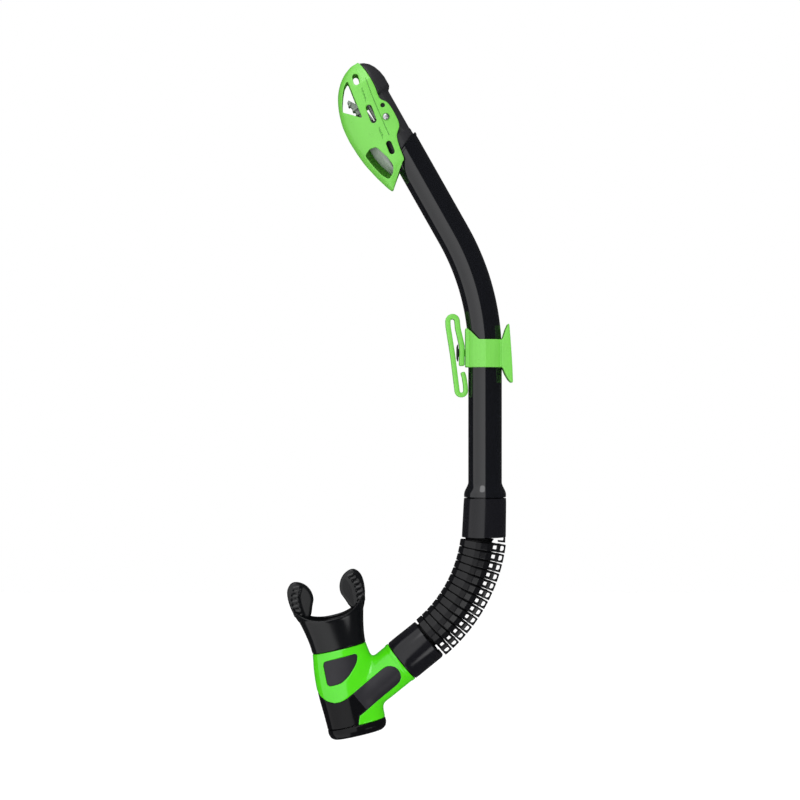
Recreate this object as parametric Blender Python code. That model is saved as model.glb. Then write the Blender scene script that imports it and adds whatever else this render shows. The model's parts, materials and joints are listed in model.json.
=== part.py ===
"""Dry-top snorkel with a strap clip, a flexible hose in a linked exoskeleton, a purge body and a mouthpiece.

Metres, +Z up. The snorkel stands in the XZ plane with the diver's head on its -X side. It is mirrored about Y = 0.
The origin is the middle of the strap slot in the hook, where the mask strap holds the snorkel.
"""
import math

import bmesh
import bpy
from mathutils import Vector

for stale in list(bpy.data.objects):
    bpy.data.objects.remove(stale, do_unlink=True)

# ---------------------------------------------------------------- driving dimensions
GAP = 0.0003                    # clearance between pieces that are pressed, glued or snapped together
RUN = 0.0004                    # clearance between pieces that slide or turn

BARREL_R = 0.0109               # outside radius of the barrel
SLOT_TO_AXIS = BARREL_R + 0.0082  # strap slot to the axis of the barrel
BARREL_WALL = 0.0014
BEND_START = -0.0010            # height where the barrel starts to bend
BEND_RADIUS = 0.158
BEND_ANGLE = math.radians(29.5)
BEND_STEPS = 8                  # rings along the bend
TOP_RUN = 0.065                 # straight run above the bend
TOP_SLANT = math.radians(26.0)  # how far the upper end is cut off square
FOOT_DEPTH = 0.0936             # foot of the barrel, below the origin
SPIGOT_LENGTH = 0.0175          # spigot under the foot, inside the hose

HOSE_R = 0.0098                 # outside radius of the hose
HOSE_WALL = 0.0016
HOSE_SHIFT = 0.0030             # hose centre to exoskeleton centre, towards the head
SPIGOT_R = HOSE_R
HOSE_END_R = SPIGOT_R + GAP + HOSE_WALL + 0.0002  # hose end inside either cuff
HOSE_END_LENGTH = 0.0100
HOSE_DIP = 0.0011               # depth of its corrugations
FOOT_R = HOSE_END_R + 0.00175   # radius of the barrel's flared foot

CUFF_LENGTH = 0.0253            # upper cuff
CUFF_LOW_R = FOOT_R + 0.00065   # radius of its lower edge
CUFF_LEAN = 0.0008              # how far its lower edge sits towards the head

FLEX_RADIUS = 0.0976            # bend of the exoskeleton's centre line
FLEX_START = math.radians(5.6)  # heading where the exoskeleton starts
LINK_COUNT = 13
LINK_STEP = math.radians(3.3)   # turn from link to link
LINK_IN_HEIGHT = 0.0042         # height of a link on the head side
LINK_OUT_HEIGHT = 0.0053        # and at its outer loop
LINK_WALL = 0.0019
LINK_ARM = 0.0010               # thickness of the arms above and below the window
WINDOW_IN = HOSE_R - HOSE_SHIFT - 0.0004  # inner edge of the see-through window
POST_IN = WINDOW_IN + 0.0029    # window to post
POST_OUT = POST_IN + 0.0021     # post to outer loop
LINK_R = POST_OUT + 0.0033      # reach of the outer loop from the centre line
LOOP_WALL = 0.0008
STUB_HALF = 0.0026              # half depth of the half links that the cuffs carry
STUB_ROOT = CUFF_LOW_R - 0.0015  # where they start, inside the cuffs' walls
ROCKER_HALF = 0.0022            # half depth of the rockers between the posts
LAST_STEP = 13.79               # where the lower cuff begins, in link steps

LOWER_CUFF_LENGTH = 0.0220
LOWER_CUFF_R = CUFF_LOW_R + 0.0001
LOWER_CUFF_WALL = 0.0018

LOBE_TILT = math.radians(13.0)  # lean of the mouthpiece and purge chamber
LOBE_DROP = 0.0405              # swivel joint to the bottom of the chamber, down
LOBE_REACH = 0.0298             # and towards the head
LOBE_HEIGHT = 0.0500            # bottom of the chamber to the mouthpiece
LOBE_LOW_HALF = 0.0192          # half width at the bottom
LOBE_MID_HALF = 0.0201          # half width at its widest
LOBE_TOP_HALF = 0.0177          # half width under the mouthpiece
LOBE_DEPTH_HALF = 0.0148        # half depth, front to back
SKIN = 0.0013                   # coloured skin over the purge core
CORE_WALL = 0.0020
BRANCH_R = LOWER_CUFF_R - 0.0004  # purge body under the lower cuff
LIP = 0.0004                    # how far its end stands out
LIP_HEIGHT = 0.0026
NIPPLE_LENGTH = 0.0100          # swivel nipple inside the lower cuff
NIPPLE_WALL = 0.0018

MOUTH_HEIGHT = 0.0198           # mouthpiece rim above the purge body, at the lips
MOUTH_RISE = 0.0101             # extra height of the rim at the corners of the mouth
MOUTH_HALF = 0.0234             # half width of the rim
MOUTH_DEPTH_HALF = 0.0150       # half height of the lip shield
MOUTH_WALL = 0.0020
NECK_HEIGHT = 0.0080            # neck of the core inside the mouthpiece
TAB_LENGTH = 0.0240             # bite tab above the corner of the rim
TAB_HALF_THICK = 0.0036

PORT_R = 0.0080                 # exhaust port in the chamber floor
VALVE_R = 0.0098                # exhaust valve disc
CAP_HEIGHT = 0.0068             # bottom cap

COLLAR_WALL = 0.0016
COLLAR_TOP = 0.0087
COLLAR_BOTTOM = -0.0094
COLLAR_BORE_CLEARANCE = 0.0005
COLLAR_PAD_X = -BARREL_R - 0.0020  # flat pad that the hook lies against
COLLAR_PAD_TOP = 0.0161
COLLAR_PAD_HALF = 0.0070
WING_TOP = 0.0192
WING_BOTTOM = -0.0198
WING_HALF = 0.0095

HOOK_BAR = 0.0037               # thickness of the hook's bar
HOOK_HALF = 0.0050              # half width of the hook
STUD_R = 0.0026
STUD_HEAD_R = 0.0056
STUD_HEAD = 0.0012
STUD_TAIL_R = 0.0020
STUD_TAIL = 0.0014

HOUSING_NECK_R = BARREL_R - 0.0017  # dry-top neck above the barrel
HOUSING_BORE_R = BARREL_R - 0.0037
HOUSING_HALF_Y = BARREL_R - 0.0029  # half depth of the neck
SHOULDER_TOP = 0.0090           # shoulder of the neck that closes the slanted end of the barrel
SHOULDER_HEAD_R = BARREL_R - 0.0003
SHOULDER_OUT_R = BARREL_R - 0.0013
SHOULDER_HALF_Y = BARREL_R - 0.0008
SEAT_X = -BARREL_R + 0.0047     # flat side of the neck that carries the valve seat
NECK_HEIGHT_TOP = 0.0375        # where the neck meets the dome
DOME_R = BARREL_R + 0.0006
DOME_TOP = 0.0622
DOME_WALL = 0.0016
SHELL_HALF_Y = HOUSING_HALF_Y + 0.0042  # half depth of the shell
SHELL_WALL = 0.0015
VALVE_PORT_LOW = 0.0260         # air port in the neck
VALVE_PORT_HIGH = 0.0385
VALVE_PORT_HALF = 0.0050
GASKET = 0.0012
LEVER_ANGLE = math.radians(9.0)  # how far the lever hangs open
PIVOT_X = SEAT_X - 0.0046
PIVOT_Z = 0.0215
PIN_R = 0.0010
EAR_X = SEAT_X - 0.0066         # ears on the neck that hold the pivot pin
EAR_IN = HOUSING_HALF_Y - 0.0009
EAR_OUT = HOUSING_HALF_Y + 0.0006
EAR_HALF = 0.0024
FLOAT_HALF_Y = HOUSING_HALF_Y - 0.0006
FLOAT_PROW_HALF = 0.0027        # half depth of its narrow side
SCREW_R = 0.0011
SCREW_HEAD_R = 0.0020
SCREW_X = -0.0011
SCREW_Z = 0.0219
PEG_X = 0.0007
PEG_Z = 0.0295
PEG_R = 0.0012

ROUND = 28                      # facets round the barrel and cuffs
HOSE_ROUND = 20                 # facets round the hose and the links' bores
OVAL_ROUND = 28                 # facets round the purge body and mouthpiece


# ---------------------------------------------------------------- helpers
def material(name, colour, roughness, metallic=0.0):
    """One Principled material."""
    made = bpy.data.materials.new(name)
    made.use_nodes = True
    shader = made.node_tree.nodes["Principled BSDF"]
    shader.inputs["Base Color"].default_value = (*colour, 1.0)
    shader.inputs["Roughness"].default_value = roughness
    shader.inputs["Metallic"].default_value = metallic
    return made


def frame(name, x, z, turn, parent=None):
    """An empty that carries the pieces drawn in its own frame: turned about Y, its X outward and Z along."""
    empty = bpy.data.objects.new(name, None)
    bpy.context.scene.collection.objects.link(empty)
    empty.location = (x, 0.0, z)
    empty.rotation_euler = (0.0, turn, 0.0)
    empty.parent = parent
    return empty


def add(name, bm, finish, parent, smooth=35.0):
    """A mesh object from a bmesh, faces outward, shaded smooth below an angle."""
    bmesh.ops.recalc_face_normals(bm, faces=bm.faces)
    mesh = bpy.data.meshes.new(name)
    bm.to_mesh(mesh)
    bm.free()
    mesh.shade_smooth()
    mesh.set_sharp_from_angle(angle=math.radians(smooth))
    item = bpy.data.objects.new(name, mesh)
    bpy.context.scene.collection.objects.link(item)
    item.parent = parent
    if finish is not None:
        mesh.materials.append(finish)
    return item


def guide(name, bm, parent):
    """A cutter or a joining shape, which is left out of the build."""
    item = add(name, bm, None, parent)
    item.hide_render = True
    item.display_type = "WIRE"
    return item


def combine(target, other, how):
    """A Boolean on the target, kept as a modifier."""
    step = target.modifiers.new(how.lower(), "BOOLEAN")
    step.operation = how
    step.solver = "EXACT"
    step.object = other
    return target


def cut(target, other):
    return combine(target, other, "DIFFERENCE")


def join(target, other):
    return combine(target, other, "UNION")


def bevel(item, width, segments=2, angle=40.0):
    """Rounded edges on a drawn shape."""
    step = item.modifiers.new("bevel", "BEVEL")
    step.width = width
    step.segments = segments
    step.limit_method = "ANGLE"
    step.angle_limit = math.radians(angle)
    return item


def loft(rings, closed=False):
    """A solid through rings of points; closed joins the last ring to the first, as in a wall with two faces."""
    bm = bmesh.new()
    rows = [[bm.verts.new(point) for point in ring] for ring in rings]
    count = len(rows[0])
    pairs = list(zip(rows, rows[1:]))
    if closed:
        pairs.append((rows[-1], rows[0]))
    for low, high in pairs:
        for index in range(count):
            after = (index + 1) % count
            bm.faces.new((low[index], low[after], high[after], high[index]))
    if not closed:
        bm.faces.new(list(reversed(rows[0])))
        bm.faces.new(rows[-1])
    return bm


def prism(points, low, high):
    """A flat outline in XZ, extruded along Y."""
    return loft([[Vector((x, y, z)) for x, z in points] for y in (low, high)])


def flat_prism(points, low, high):
    """A flat outline in XY, extruded along Z."""
    return loft([[Vector((x, y, z)) for x, y in points] for z in (low, high)])


def box(low, high):
    """A plain block between two corners."""
    return prism([(low[0], low[2]), (high[0], low[2]), (high[0], high[2]), (low[0], high[2])], low[1],
                 high[1])


def circle(radius, height=0.0, centre=0.0, count=ROUND):
    """A ring of points round Z."""
    points = []
    for index in range(count):
        turn = 2.0 * math.pi * index / count
        points.append(Vector((centre + radius * math.cos(turn), radius * math.sin(turn), height)))
    return points


def turned(profile, count=None, closed=False, centre=0.0):
    """A turned solid from (radius, height) points; closed makes a hollow ring of them."""
    return loft([circle(radius, height, centre, count or ROUND) for radius, height in profile], closed)


def rod(radius, low, high, axis="Y", at=(0.0, 0.0, 0.0), count=20):
    """A plain rod along X, Y or Z."""
    rings = []
    for height in (low, high):
        ring = []
        for point in circle(radius, height, 0.0, count):
            x, y, z = point
            turned_point = {"X": (z, x, y), "Y": (y, z, x), "Z": (x, y, z)}[axis]
            ring.append(Vector(turned_point) + Vector(at))
        rings.append(ring)
    return loft(rings)


def arc(centre, radius, start, end, count):
    """Points on an arc in a flat outline, angles in degrees."""
    points = []
    for index in range(count):
        turn = math.radians(start + (end - start) * index / (count - 1))
        points.append((centre[0] + radius * math.cos(turn), centre[1] + radius * math.sin(turn)))
    return points


def smooth_outline(corners, steps=4):
    """A closed smooth outline through a few points."""
    points = []
    count = len(corners)
    for index in range(count):
        a, b, c, d = (corners[(index + shift) % count] for shift in (-1, 0, 1, 2))
        for step in range(steps):
            t = step / steps
            weights = (-t + 2 * t * t - t ** 3, 2 - 5 * t * t + 3 * t ** 3, t + 4 * t * t - 3 * t ** 3,
                       t ** 3 - t * t)
            points.append(tuple(0.5 * sum(w * p[axis] for w, p in zip(weights, (a, b, c, d)))
                                for axis in (0, 1)))
    return points


def grown(points, amount):
    """A closed outline moved outward by an amount, or inward if negative."""
    count = len(points)
    area = sum(points[i][0] * points[(i + 1) % count][1] - points[(i + 1) % count][0] * points[i][1]
               for i in range(count))
    side = 1.0 if area > 0.0 else -1.0
    moved = []
    for index, point in enumerate(points):
        before = Vector(points[index - 1])
        after = Vector(points[(index + 1) % count])
        along = (after - before).normalized()
        moved.append((point[0] + side * amount * along.y, point[1] - side * amount * along.x))
    return moved


def slot_outline(start, end, half):
    """A slot with round ends between two points."""
    heading = math.degrees(math.atan2(end[1] - start[1], end[0] - start[0]))
    return arc(end, half, heading - 90, heading + 90, 7) + arc(start, half, heading + 90, heading + 270, 7)


def mix(table, at):
    """A value between the rows of a short (position, value) list."""
    if at <= table[0][0]:
        return table[0][1]
    for (low, first), (high, second) in zip(table, table[1:]):
        if at <= high:
            return first + (second - first) * (at - low) / (high - low)
    return table[-1][1]


BLACK = material("gloss_black", (0.012, 0.012, 0.014), 0.22)
BLACK_SATIN = material("satin_black", (0.020, 0.020, 0.023), 0.42)
HOSE_BLACK = material("hose_black", (0.010, 0.010, 0.011), 0.5)
SILICONE = material("black_silicone", (0.010, 0.010, 0.011), 0.3)
GREEN = material("light_green", (0.24, 0.72, 0.12), 0.38)
PURGE_GREEN = material("purge_green", (0.12, 0.75, 0.02), 0.2)
GREY = material("grey_plastic", (0.30, 0.32, 0.29), 0.45)
CLEAR_GREY = material("grey_silicone", (0.40, 0.42, 0.40), 0.35)
STEEL = material("steel", (0.60, 0.60, 0.62), 0.3, 1.0)

# ---------------------------------------------------------------- frames
snorkel = frame("snorkel", SLOT_TO_AXIS, 0.0, 0.0)

bend_end_x = -BEND_RADIUS * (1.0 - math.cos(BEND_ANGLE))
bend_end_z = BEND_START + BEND_RADIUS * math.sin(BEND_ANGLE)
top_x = bend_end_x - TOP_RUN * math.sin(BEND_ANGLE)
top_z = bend_end_z + TOP_RUN * math.cos(BEND_ANGLE)
dry_top = frame("dry_top", top_x, top_z, -BEND_ANGLE, snorkel)

cuff_bottom = -FOOT_DEPTH - 2.0 * GAP - CUFF_LENGTH
flex_centre_x = -CUFF_LEAN - FLEX_RADIUS * math.cos(FLEX_START)
flex_centre_z = cuff_bottom + FLEX_RADIUS * math.sin(FLEX_START)


def flex_point(step):
    """Place and heading on the exoskeleton's centre line, counted in link steps from the upper cuff."""
    heading = FLEX_START + step * LINK_STEP
    x = flex_centre_x + FLEX_RADIUS * math.cos(heading)
    z = flex_centre_z - FLEX_RADIUS * math.sin(heading)
    return x, z, heading


cuff_x, cuff_z, cuff_heading = flex_point(LAST_STEP)
lower = frame("lower_cuff_frame", cuff_x, cuff_z, cuff_heading, snorkel)
joint_x = cuff_x - LOWER_CUFF_LENGTH * math.sin(cuff_heading)
joint_z = cuff_z - LOWER_CUFF_LENGTH * math.cos(cuff_heading)
swivel = frame("swivel_frame", joint_x, joint_z, cuff_heading, snorkel)
chamber_x = joint_x - LOBE_REACH
chamber_z = joint_z - LOBE_DROP
chamber = frame("chamber_frame", chamber_x, chamber_z, -LOBE_TILT, snorkel)


# ---------------------------------------------------------------- barrel
def barrel_point(height):
    """Centre and lean of the barrel for a length of axis counted from the start of the bend."""
    if height <= 0.0:
        return 0.0, BEND_START + height, 0.0
    turn = min(height / BEND_RADIUS, BEND_ANGLE)
    beyond = max(0.0, height - BEND_RADIUS * BEND_ANGLE)
    x = -BEND_RADIUS * (1.0 - math.cos(turn)) - beyond * math.sin(turn)
    z = BEND_START + BEND_RADIUS * math.sin(turn) + beyond * math.cos(turn)
    return x, z, turn


def barrel_ring(height, radius, slant=0.0):
    """A ring square to the barrel, or cut off at a slant."""
    x, z, turn = barrel_point(height)
    ring = []
    for point in circle(radius):
        along = point.x * math.tan(slant)
        ring.append(Vector((x + point.x * math.cos(turn) - along * math.sin(turn), point.y,
                            z + point.x * math.sin(turn) + along * math.cos(turn))))
    return ring


def barrel_tube():
    bore = BARREL_R - BARREL_WALL
    foot = -FOOT_DEPTH - BEND_START
    arc_length = BEND_RADIUS * BEND_ANGLE
    top = arc_length + TOP_RUN
    outer = [(foot - SPIGOT_LENGTH, SPIGOT_R), (foot - GAP, SPIGOT_R), (foot, FOOT_R),
             (foot + 0.0020, FOOT_R),
             (foot + 0.0048, BARREL_R + 0.0008), (foot + 0.0085, BARREL_R)]
    bend = [arc_length * index / BEND_STEPS for index in range(BEND_STEPS + 1)]
    outer += [(height, BARREL_R) for height in bend]
    rings = [barrel_ring(height, radius) for height, radius in outer]
    rings.append(barrel_ring(top, BARREL_R, TOP_SLANT))
    rings.append(barrel_ring(top, bore, TOP_SLANT))
    rings += [barrel_ring(height, bore) for height in reversed(bend)]
    inside = min(bore, SPIGOT_R - BARREL_WALL)
    rings += [barrel_ring(foot + 0.0040, bore), barrel_ring(foot, inside),
              barrel_ring(foot - SPIGOT_LENGTH, inside)]
    return add("barrel_tube", loft(rings, closed=True), BLACK, snorkel)


# ---------------------------------------------------------------- exoskeleton and hose
def link_outline():
    """Plan of a link: round about the hose, drawn in to the post and the outer loop."""
    reach = HOSE_R + GAP + LINK_WALL
    round_part = arc((-HOSE_SHIFT, 0.0), reach, 62.0, 298.0, 13)
    nose = [(WINDOW_IN - 0.0012, -HOSE_R + 0.0010), (POST_IN, -0.0052), (LINK_R - 0.0010, -0.0036),
            (LINK_R, -0.0024),
            (LINK_R, 0.0024), (LINK_R - 0.0010, 0.0036), (POST_IN,
                                                          0.0052), (WINDOW_IN - 0.0012, HOSE_R - 0.0010)]
    return round_part + nose


def link_half(x):
    """Half the height of a link, which grows from the head side outward."""
    inner = -HOSE_SHIFT - HOSE_R - GAP - LINK_WALL
    part = (x - inner) / (LINK_R - inner)
    return 0.5 * (LINK_IN_HEIGHT + (LINK_OUT_HEIGHT - LINK_IN_HEIGHT) * part)


def link_body(name, parent):
    """One link, open round the hose, with its see-through window and its outer loop."""
    rings = [[Vector((x, y, side * link_half(x))) for x, y in link_outline()] for side in (-1.0, 1.0)]
    body = add(name, loft(rings), BLACK_SATIN, parent)
    tall = LINK_OUT_HEIGHT
    hose_bore = turned([(HOSE_R + GAP, -tall), (HOSE_R + GAP, tall)], HOSE_ROUND, centre=-HOSE_SHIFT)
    cut(body, guide(name + "_bore", hose_bore, parent))
    half_window = link_half(POST_IN) - LINK_ARM
    window = box((WINDOW_IN, -0.02, -half_window), (POST_IN, 0.02, half_window))
    cut(body, guide(name + "_window", window, parent))
    edge = LINK_R - LOOP_WALL
    half_loop = link_half(POST_OUT) - 0.8 * LINK_ARM
    loop = [(POST_OUT, -half_loop), (edge - 0.0008, -half_loop), (edge, -0.5 * half_loop),
            (edge, 0.5 * half_loop),
            (edge - 0.0008, half_loop), (POST_OUT, half_loop)]
    cut(body, guide(name + "_loop", prism(loop, -0.02, 0.02), parent))
    return body


def exo_links():
    """The separate links, each about its own place on the bend, with a rocker on its post towards the next."""
    for index in range(1, LINK_COUNT + 1):
        x, z, heading = flex_point(index)
        holder = frame("link_frame_%02d" % index, x, z, heading, snorkel)
        name = "exo_link_%02d" % index
        body = link_body(name, holder)
        post_pitch = (FLEX_RADIUS + POST_IN) * LINK_STEP
        reach = 0.5 * post_pitch - 0.5 * RUN
        rocker = box((POST_IN + 0.0002, -ROCKER_HALF, -reach), (POST_OUT - 0.0002, ROCKER_HALF, reach))
        join(body, guide(name + "_rocker", rocker, holder))


def hose_ring(x, z, heading, radius, shift):
    """A ring of the hose square to its run."""
    ring = []
    for point in circle(radius, 0.0, shift, HOSE_ROUND):
        ring.append(Vector((x + point.x * math.cos(heading), point.y, z - point.x * math.sin(heading))))
    return ring


def bellows_hose():
    """The corrugated hose from cuff to cuff, with a plain widened end inside each."""
    bore = HOSE_R - HOSE_WALL
    end_bore = SPIGOT_R + GAP
    foot = cuff_bottom
    plan = [(0.0, foot + HOSE_END_LENGTH + 0.006, 0.0, HOSE_END_R, end_bore, 0.0),
            (0.0, foot + 0.008, 0.0, HOSE_END_R, end_bore, 0.0),
            (-0.5 * CUFF_LEAN, foot + 0.0045, 0.02, HOSE_R, bore, -0.3 * HOSE_SHIFT),
            (-CUFF_LEAN, foot + 0.0008, 0.06, HOSE_R - 0.0006, bore - 0.0002, -0.55 * HOSE_SHIFT)]
    waves = 2 * (LINK_COUNT + 1)
    first = 0.45
    last = LAST_STEP - 0.1
    for index in range(waves + 1):
        step = first + (last - first) * index / waves
        x, z, heading = flex_point(step)
        dip = 0.0 if index % 2 == 0 else HOSE_DIP
        plan.append((x, z, heading, HOSE_R - dip, bore - 0.2 * dip, -HOSE_SHIFT))
    for depth, radius, inner, shift in ((0.0025, HOSE_R, bore, -0.6 * HOSE_SHIFT),
                                        (0.0055, HOSE_END_R, HOSE_END_R - HOSE_WALL, 0.0),
                                        (0.0055 + 0.5 * HOSE_END_LENGTH, HOSE_END_R, HOSE_END_R - HOSE_WALL,
                                         0.0)):
        x = cuff_x - depth * math.sin(cuff_heading)
        z = cuff_z - depth * math.cos(cuff_heading)
        plan.append((x, z, cuff_heading, radius, inner, shift))
    rings = [hose_ring(x, z, heading, outer, shift) for x, z, heading, outer, inner, shift in plan]
    plain = plan[:4] + plan[6:-4:4] + plan[-4:]
    rings += [hose_ring(x, z, heading, inner, shift) for x, z, heading, outer, inner,
              shift in reversed(plain)]
    return add("bellows_hose", loft(rings, closed=True), HOSE_BLACK, snorkel)


def upper_cuff():
    top = cuff_bottom + CUFF_LENGTH
    bore = HOSE_END_R + GAP
    rings = [circle(FOOT_R, top), circle(CUFF_LOW_R, cuff_bottom, -CUFF_LEAN),
             circle(bore, cuff_bottom, -CUFF_LEAN), circle(bore, cuff_bottom + 0.006), circle(bore, top)]
    cuff = add("upper_cuff", loft(rings, closed=True), BLACK, snorkel)
    x, z, heading = flex_point(0)
    holder = frame("upper_stub_frame", x, z, heading, snorkel)
    reach = 0.5 * LINK_STEP * FLEX_RADIUS - 0.0006
    stub = prism([(STUB_ROOT, 0.0016), (LINK_R - 0.0009, 0.0015), (LINK_R - 0.0006, -reach),
                  (POST_IN, -reach),
                  (POST_IN, -reach + LINK_ARM), (STUB_ROOT, -reach + LINK_ARM)], -STUB_HALF, STUB_HALF)
    join(cuff, guide("upper_stub", stub, holder))
    return cuff


def lower_cuff():
    low = -LOWER_CUFF_LENGTH
    bore = LOWER_CUFF_R - LOWER_CUFF_WALL
    bm = turned([(LOWER_CUFF_R, low), (LOWER_CUFF_R, -0.0006), (LOWER_CUFF_R - 0.0006, 0.0), (bore, 0.0),
                 (bore, low)],
                closed=True)
    cuff = add("lower_cuff", bm, BLACK, lower)
    reach = (LAST_STEP - LINK_COUNT - 0.5) * LINK_STEP * FLEX_RADIUS
    reach -= 0.0006
    stub = prism([(STUB_ROOT, -0.0012), (LINK_R - 0.0006, -0.0012), (LINK_R - 0.0012, reach),
                  (POST_IN, reach),
                  (POST_IN, reach - LINK_ARM), (STUB_ROOT, reach - LINK_ARM)], -STUB_HALF, STUB_HALF)
    join(cuff, guide("lower_stub", stub, lower))
    return cuff


def hose_clamp_ring():
    """Rigid ring that spreads the end of the hose inside the lower cuff."""
    outside = HOSE_END_R - HOSE_WALL - GAP
    low = -0.0055 - 0.5 * HOSE_END_LENGTH
    profile = [(outside, low), (outside, -0.0060), (outside - 0.0014, -0.0060), (outside - 0.0014, low)]
    return add("hose_clamp_ring", turned(profile, 28, closed=True), BLACK_SATIN, lower)


# ---------------------------------------------------------------- purge body
LOBE_WIDTH = [(0.0, LOBE_LOW_HALF), (0.56 * LOBE_HEIGHT, LOBE_MID_HALF),
              (0.8 * LOBE_HEIGHT, LOBE_MID_HALF - 0.0007),
              (LOBE_HEIGHT, LOBE_TOP_HALF)]
LOBE_DEPTH = [(0.0, LOBE_DEPTH_HALF - 0.0012), (0.5 * LOBE_HEIGHT, LOBE_DEPTH_HALF),
              (LOBE_HEIGHT, LOBE_DEPTH_HALF - 0.0018)]


def oval(half_x, half_y, height, count=OVAL_ROUND):
    """A ring between an ellipse and a rounded box."""
    points = []
    for index in range(count):
        turn = 2.0 * math.pi * index / count
        across = math.copysign(abs(math.cos(turn)) ** 0.86, math.cos(turn))
        deep = math.copysign(abs(math.sin(turn)) ** 0.86, math.sin(turn))
        points.append(Vector((half_x * across, half_y * deep, height)))
    return points


def lobe(inset, low, high):
    """The upright body of the purge housing, drawn inside its outer face by an inset."""
    heights = [low] + [part * LOBE_HEIGHT for part in (0.15, 0.4, 0.6, 0.8) if low < part
                       * LOBE_HEIGHT < high] + [high]
    return loft([oval(mix(LOBE_WIDTH, z) - inset, mix(LOBE_DEPTH, z) - inset, z) for z in heights])


def branch(radius, start, end):
    """The slanted arm of the purge housing, under the lower cuff."""
    return turned([(radius, start), (radius, end)])


BRANCH_DEPTH = 0.0390           # how far the arm runs into the upright body
PILL = slot_outline((0.0285, 0.0258), (0.0020, 0.0125), 0.0070)
WINDOW = [(-0.0110, 0.0432), (-0.0085, 0.0450), (0.0091, 0.0448), (0.0113, 0.0432), (0.0096, 0.0397),
          (0.0031, 0.0329), (-0.0032, 0.0294), (-0.0090, 0.0285), (-0.0117, 0.0300), (-0.0124, 0.0354)]
CHAMBER_FRONT = [(-0.0240, 0.0278), (-0.0202, 0.0278), (-0.0190, 0.0236), (-0.0150, 0.0194),
                 (-0.0100, 0.0171),
                 (-0.0050, 0.0173), (0.0011, 0.0195), (0.0060, 0.0100), (0.0029, 0.0036), (0.0015, -0.0010),
                 (0.0015, -0.0100), (-0.0240, -0.0100)]


def dark_regions(amount, prefix):
    """The parts of the core that show through the skin, grown by an amount."""
    found = []
    for label, outline in (("pill", PILL), ("window", WINDOW), ("front", CHAMBER_FRONT)):
        found.append(guide(prefix + label, prism(grown(outline, amount), -0.03, 0.03), chamber))
    return found


def purge_skin():
    """Coloured skin moulded round the core, open where the core shows."""
    skin = add("purge_skin", lobe(0.0, 0.0, LOBE_HEIGHT), PURGE_GREEN, chamber)
    arm = turned([(BRANCH_R, -BRANCH_DEPTH), (BRANCH_R, -LIP_HEIGHT - LIP), (BRANCH_R + LIP, -LIP_HEIGHT),
                  (BRANCH_R + LIP, -2.0 * GAP)])
    join(skin, guide("skin_branch", arm, swivel))
    cut(skin, guide("skin_inside", lobe(SKIN, -0.001, LOBE_HEIGHT + 0.001), chamber))
    cut(skin, guide("skin_branch_inside", branch(BRANCH_R - SKIN, -BRANCH_DEPTH, 0.001), swivel))
    for region in dark_regions(0.5 * GAP, "skin_"):
        cut(skin, region)
    return skin


def purge_core():
    """Rigid core of the purge body: chamber, swivel nipple and neck for the mouthpiece."""
    core = add("purge_core", lobe(SKIN + GAP, 0.0, LOBE_HEIGHT - GAP), BLACK, chamber)
    join(core, guide("core_branch", branch(BRANCH_R - SKIN - GAP, -BRANCH_DEPTH + GAP, -2.0 * GAP), swivel))
    raised = add("core_raised", lobe(0.0001, 0.0002, LOBE_HEIGHT - 0.001), None, chamber)
    raised.hide_render = True
    raised.display_type = "WIRE"
    shown = dark_regions(-0.5 * GAP, "core_")
    join(shown[0], shown[2])
    join(shown[0], shown[1])
    combine(raised, shown[0], "INTERSECT")
    join(core, raised)
    nipple_r = LOWER_CUFF_R - LOWER_CUFF_WALL - RUN
    join(core, guide("core_nipple", branch(nipple_r, -0.004, NIPPLE_LENGTH), swivel))
    neck = loft([oval(LOBE_TOP_HALF - 0.0042, LOBE_DEPTH_HALF - 0.0060, z)
                 for z in (LOBE_HEIGHT - 0.004, LOBE_HEIGHT + NECK_HEIGHT)])
    join(core, guide("core_neck", neck, chamber))
    wall = SKIN + GAP + CORE_WALL
    cut(core, guide("core_inside", lobe(wall, 0.0030, LOBE_HEIGHT - 0.003), chamber))
    cut(core, guide("core_airway", branch(nipple_r - NIPPLE_WALL, -BRANCH_DEPTH + 0.006,
                                          NIPPLE_LENGTH + 0.001), swivel))
    airway = loft([oval(LOBE_TOP_HALF - 0.0042 - 0.0018, LOBE_DEPTH_HALF - 0.0060 - 0.0018, z)
                   for z in (LOBE_HEIGHT - 0.005, LOBE_HEIGHT + NECK_HEIGHT + 0.001)])
    cut(core, guide("core_mouth", airway, chamber))
    cut(core, guide("core_port", turned([(PORT_R + GAP + 0.0016, -0.001), (PORT_R + GAP + 0.0016, 0.004)]),
                    chamber))
    return core


def purge_seat():
    """Round grid in the chamber floor: a ring, a hub and three spokes."""
    outside = PORT_R + 0.0016
    seat = add("purge_seat", turned([(outside, 0.0002), (outside, 0.0028), (PORT_R, 0.0028),
                                     (PORT_R, 0.0002)], closed=True),
               BLACK_SATIN, chamber)
    for index in range(3):
        turn = math.radians(30 + 120 * index)
        tip = PORT_R + 0.0005
        side = Vector((-math.sin(turn), math.cos(turn))) * 0.0007
        end = Vector((math.cos(turn), math.sin(turn))) * tip
        outline = [(side.x, side.y), (-side.x, -side.y), (end.x - side.x, end.y - side.y),
                   (end.x + side.x, end.y + side.y)]
        join(seat, guide("seat_spoke_%d" % index, flat_prism(outline, 0.0004, 0.0026), chamber))
    join(seat, guide("seat_hub", turned([(0.0026, 0.0002), (0.0026, 0.0028)], 16), chamber))
    cut(seat, guide("seat_hub_hole", turned([(0.0012, -0.001), (0.0012, 0.004)], 16), chamber))
    return seat


def purge_valve():
    """Exhaust valve: a thin disc below the seat, with a stem through the hub."""
    profile = [(0.0008, 0.0036), (0.0008, -0.0002), (VALVE_R, -0.0004), (VALVE_R, -0.0010),
               (0.0008, -0.0013)]
    return add("purge_valve", turned(profile, 28), CLEAR_GREY, chamber)


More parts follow.
